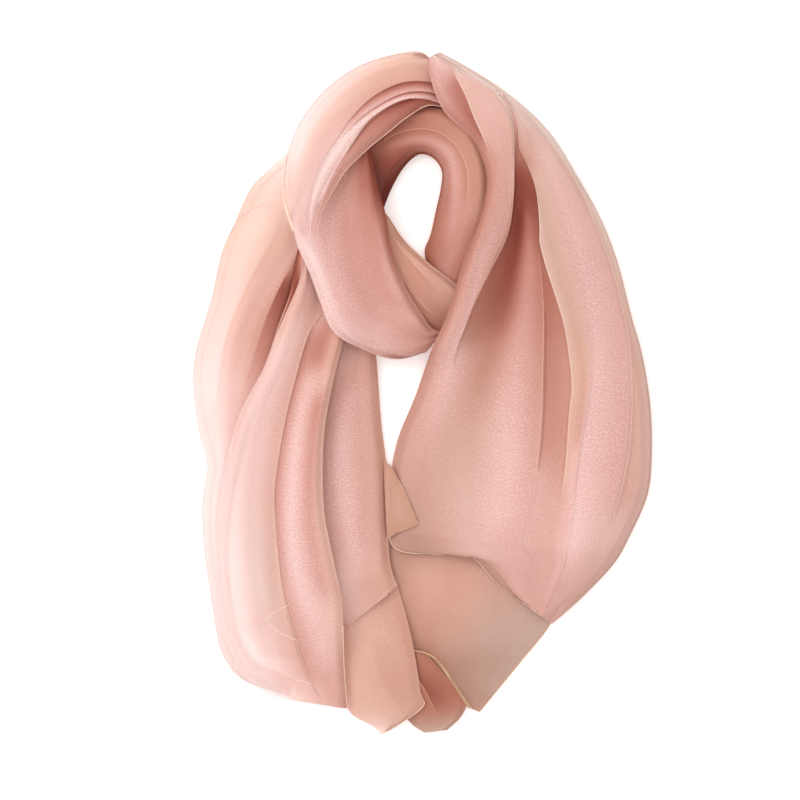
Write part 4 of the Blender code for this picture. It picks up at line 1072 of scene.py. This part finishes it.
# points of a path on the highest of some sheets, lifted by a height
def onSheets(path, names, lift):
    points = []
    for x, y in smoothPath(path, steps=8):
        heights = [topHeight(laid[name]["tree"], x * mm, y * mm) for name in names]
        heights = [h for h in heights if h is not None]
        if heights:
            points.append(Vector((x * mm, y * mm, max(heights) + lift * mm)))
    for _ in range(4):  # fills the dips between the sheets
        for k in range(1, len(points) - 1):
            points[k].z = max(points[k].z, (points[k - 1].z + points[k + 1].z) / 2)
    return points


# points along an edge of a sheet, between two shares of its length
def alongEdge(name, side, start=0.0, end=1.0, lift=0.0):
    points = laid[name][side]
    last = len(points) - 1
    return [p + Vector((0, 0, lift * mm)) for p in points[round(start * last):round(end * last) + 1]]


def makeHem(name, paths, thread):
    curve = bpy.data.curves.new(name, "CURVE")
    curve.dimensions = "3D"
    for path in paths:
        spline = curve.splines.new("POLY")
        spline.points.add(len(path) - 1)
        for point, place in zip(spline.points, path):
            point.co = (*place, 1)
    drawn = linked(name + "_path", curve)
    modifier = drawn.modifiers.new("rolled hem", "NODES")
    modifier.node_group = hemNodes
    sockets = {s.name: s.identifier for s in hemNodes.interface.items_tree if s.in_out == "INPUT"}
    for label, value in {**hemSizes, "Thread": thread}.items():
        modifier[sockets[label]] = value
    bpy.context.view_layer.update()
    graph = bpy.context.evaluated_depsgraph_get()
    mesh = bpy.data.meshes.new_from_object(drawn.evaluated_get(graph), depsgraph=graph)
    bpy.data.objects.remove(drawn)
    mesh.name = name
    mesh.shade_smooth()
    hem = linked(name, mesh)
    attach(hem, "root")
    return hem


paleThread = hemThread("pale_hem", linear(224, 174, 150), linear(248, 220, 204))
sheerThread = hemThread("sheer_hem", linear(244, 206, 186), linear(254, 232, 218))
goldThread = hemThread("gold_hem", linear(176, 120, 84), linear(244, 208, 172))
hems = {
    # name: thread, sheet it belongs to, paths
    "hem_loop": (paleThread, "cloth_loop_top", [alongEdge("cloth_loop_top", "right", 0.04, 0.72)]),
    "hem_loop_rim": (sheerThread, "cloth_loop_front", [
        [
            point + Vector((side * mm, side * 0.3 * mm, 0))
            for point in alongEdge("cloth_loop_top", "left", 0.62, 0.90, 0.5 + side * 0.35)
        ]
        for side in (-0.5, 0.3, 1.1)  # three threads, each a little over the last
    ]),
    "hem_right_tail": (paleThread, "cloth_right_tail", [
        alongEdge("cloth_right_tail", "left", 0.70),
        alongEdge("cloth_right_tail", "end", 0.0, 0.66),
    ]),
    "hem_right_end": (goldThread, "cloth_right_end", [
        alongEdge("cloth_right_end", "right", 0.45),
        *[
            onSheets(
                [
                    (x + side, y)
                    for x, y in [(-11, -256), (2, -259), (14, -267), (29, -288), (43, -309), (52, -319)]
                ],
                ["cloth_bottom_fold", "cloth_right_end"], 0.6,
            )
            for side in (-1.2, 0.0, 1.2)  # three threads side by side
        ],
        alongEdge("cloth_right_end", "end"),
    ]),
    "hem_left_end": (paleThread, "cloth_left_end", [
        alongEdge("cloth_left_end", "right", 0.62),
        alongEdge("cloth_left_end", "end"),
    ]),
    "hem_corner": (goldThread, "cloth_corner_flap", [
        alongEdge("cloth_corner_flap", side) for side in ("right", "end")
    ]),
    "hem_left_sheer": (sheerThread, "cloth_left_sheer", [
        onSheets(
            [(-194, 158), (-189, 168), (-180, 179), (-167, 186), (-153, 187), (-139, 183)],
            ["cloth_left_sheer"], 0.4,
        ),
    ]),
    "hem_front_fold": (paleThread, "cloth_left_front_fold", [
        alongEdge("cloth_left_front_fold", "end", 0.0, 0.8, 0.1),
    ]),
    "hem_left_tail": (sheerThread, "cloth_left_tail", [
        alongEdge("cloth_left_tail", "right", 0.80, 1.0, 0.2),
        *[
            onSheets(path, ["cloth_left_tail"], -0.2)
            for path in (
                [(-158, -226), (-146, -216), (-134, -210)],
                [(-156, -227), (-142, -238), (-126, -245)],
                [(-142, -278), (-128, -284), (-112, -289)],
            )
        ],
    ]),
}
hemsOf = {owner: makeHem(name, paths, thread) for name, (thread, owner, paths) in hems.items()}
for name, _, _, flat, area, under in sheets:
    held = "folded" if "inner" in name else "laid"
    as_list(under)
print("hems sewn")

studio = {
    "floor": {
        "Base Color": linear(247, 246, 246), "Roughness": 0.9, "Specular IOR Level": 0.1,
        "Emission Color": linear(255, 236, 229), "Emission Strength": 0.34,
    },
    "floorHalf": 4.0,  # m
    "floorDrop": 0.0004,
    "lights": {  # place, size and power
        "key": ((-1.3, 0.9, 1.5), 1.0, 15.0),
        "fill": ((1.4, -0.6, 1.8), 1.8, 3.0),
    },
    "world": 0.95,
    "pictureCentre": (-23.5, -6.5),
    "pictureWidth": 800.0,
    "lens": 150.0,
    "clipStart": 0.05,
    "layers": 48,  # of sheer cloth that light goes through
}


def addFloor():
    half = studio["floorHalf"]
    mesh = bpy.data.meshes.new("floor")
    corners = [(-half, -half, 0), (half, -half, 0), (half, half, 0), (-half, half, 0)]
    mesh.from_pydata(corners, [], [(0, 1, 2, 3)])
    floor = linked("floor", mesh)
    floor.location.z = -studio["floorDrop"]
    made, nodes, shader = newMaterial("floor")
    nodes.put(shader, studio["floor"])
    mesh.materials.append(made)


def addLight(name, place, size, power):
    light = bpy.data.lights.new(name, "AREA")
    light.size = size
    light.energy = power
    obj = linked(name, light)
    obj.location = place
    obj.rotation_euler = (-Vector(place)).to_track_quat("-Z", "Y").to_euler()


def addCamera():
    camera = bpy.data.cameras.new("camera")
    camera.lens = studio["lens"]
    camera.clip_start = studio["clipStart"]
    obj = linked("camera", camera)
    distance = studio["pictureWidth"] * mm * camera.lens / camera.sensor_width
    obj.location = (studio["pictureCentre"][0] * mm, studio["pictureCentre"][1] * mm, distance)
    bpy.context.scene.camera = obj


addFloor()
for name, (place, size, power) in studio["lights"].items():
    addLight(name, place, size, power)
addCamera()
world = bpy.data.worlds.new("studio")
bpy.context.scene.world = world
world.use_nodes = True
world.node_tree.nodes["Background"].inputs[0].default_value = (1, 1, 1, 1)
world.node_tree.nodes["Background"].inputs[1].default_value = studio["world"]
bpy.context.scene.view_settings.view_transform = "Standard"
bpy.context.scene.cycles.transparent_max_bounces = studio["layers"]
print("studio ready")
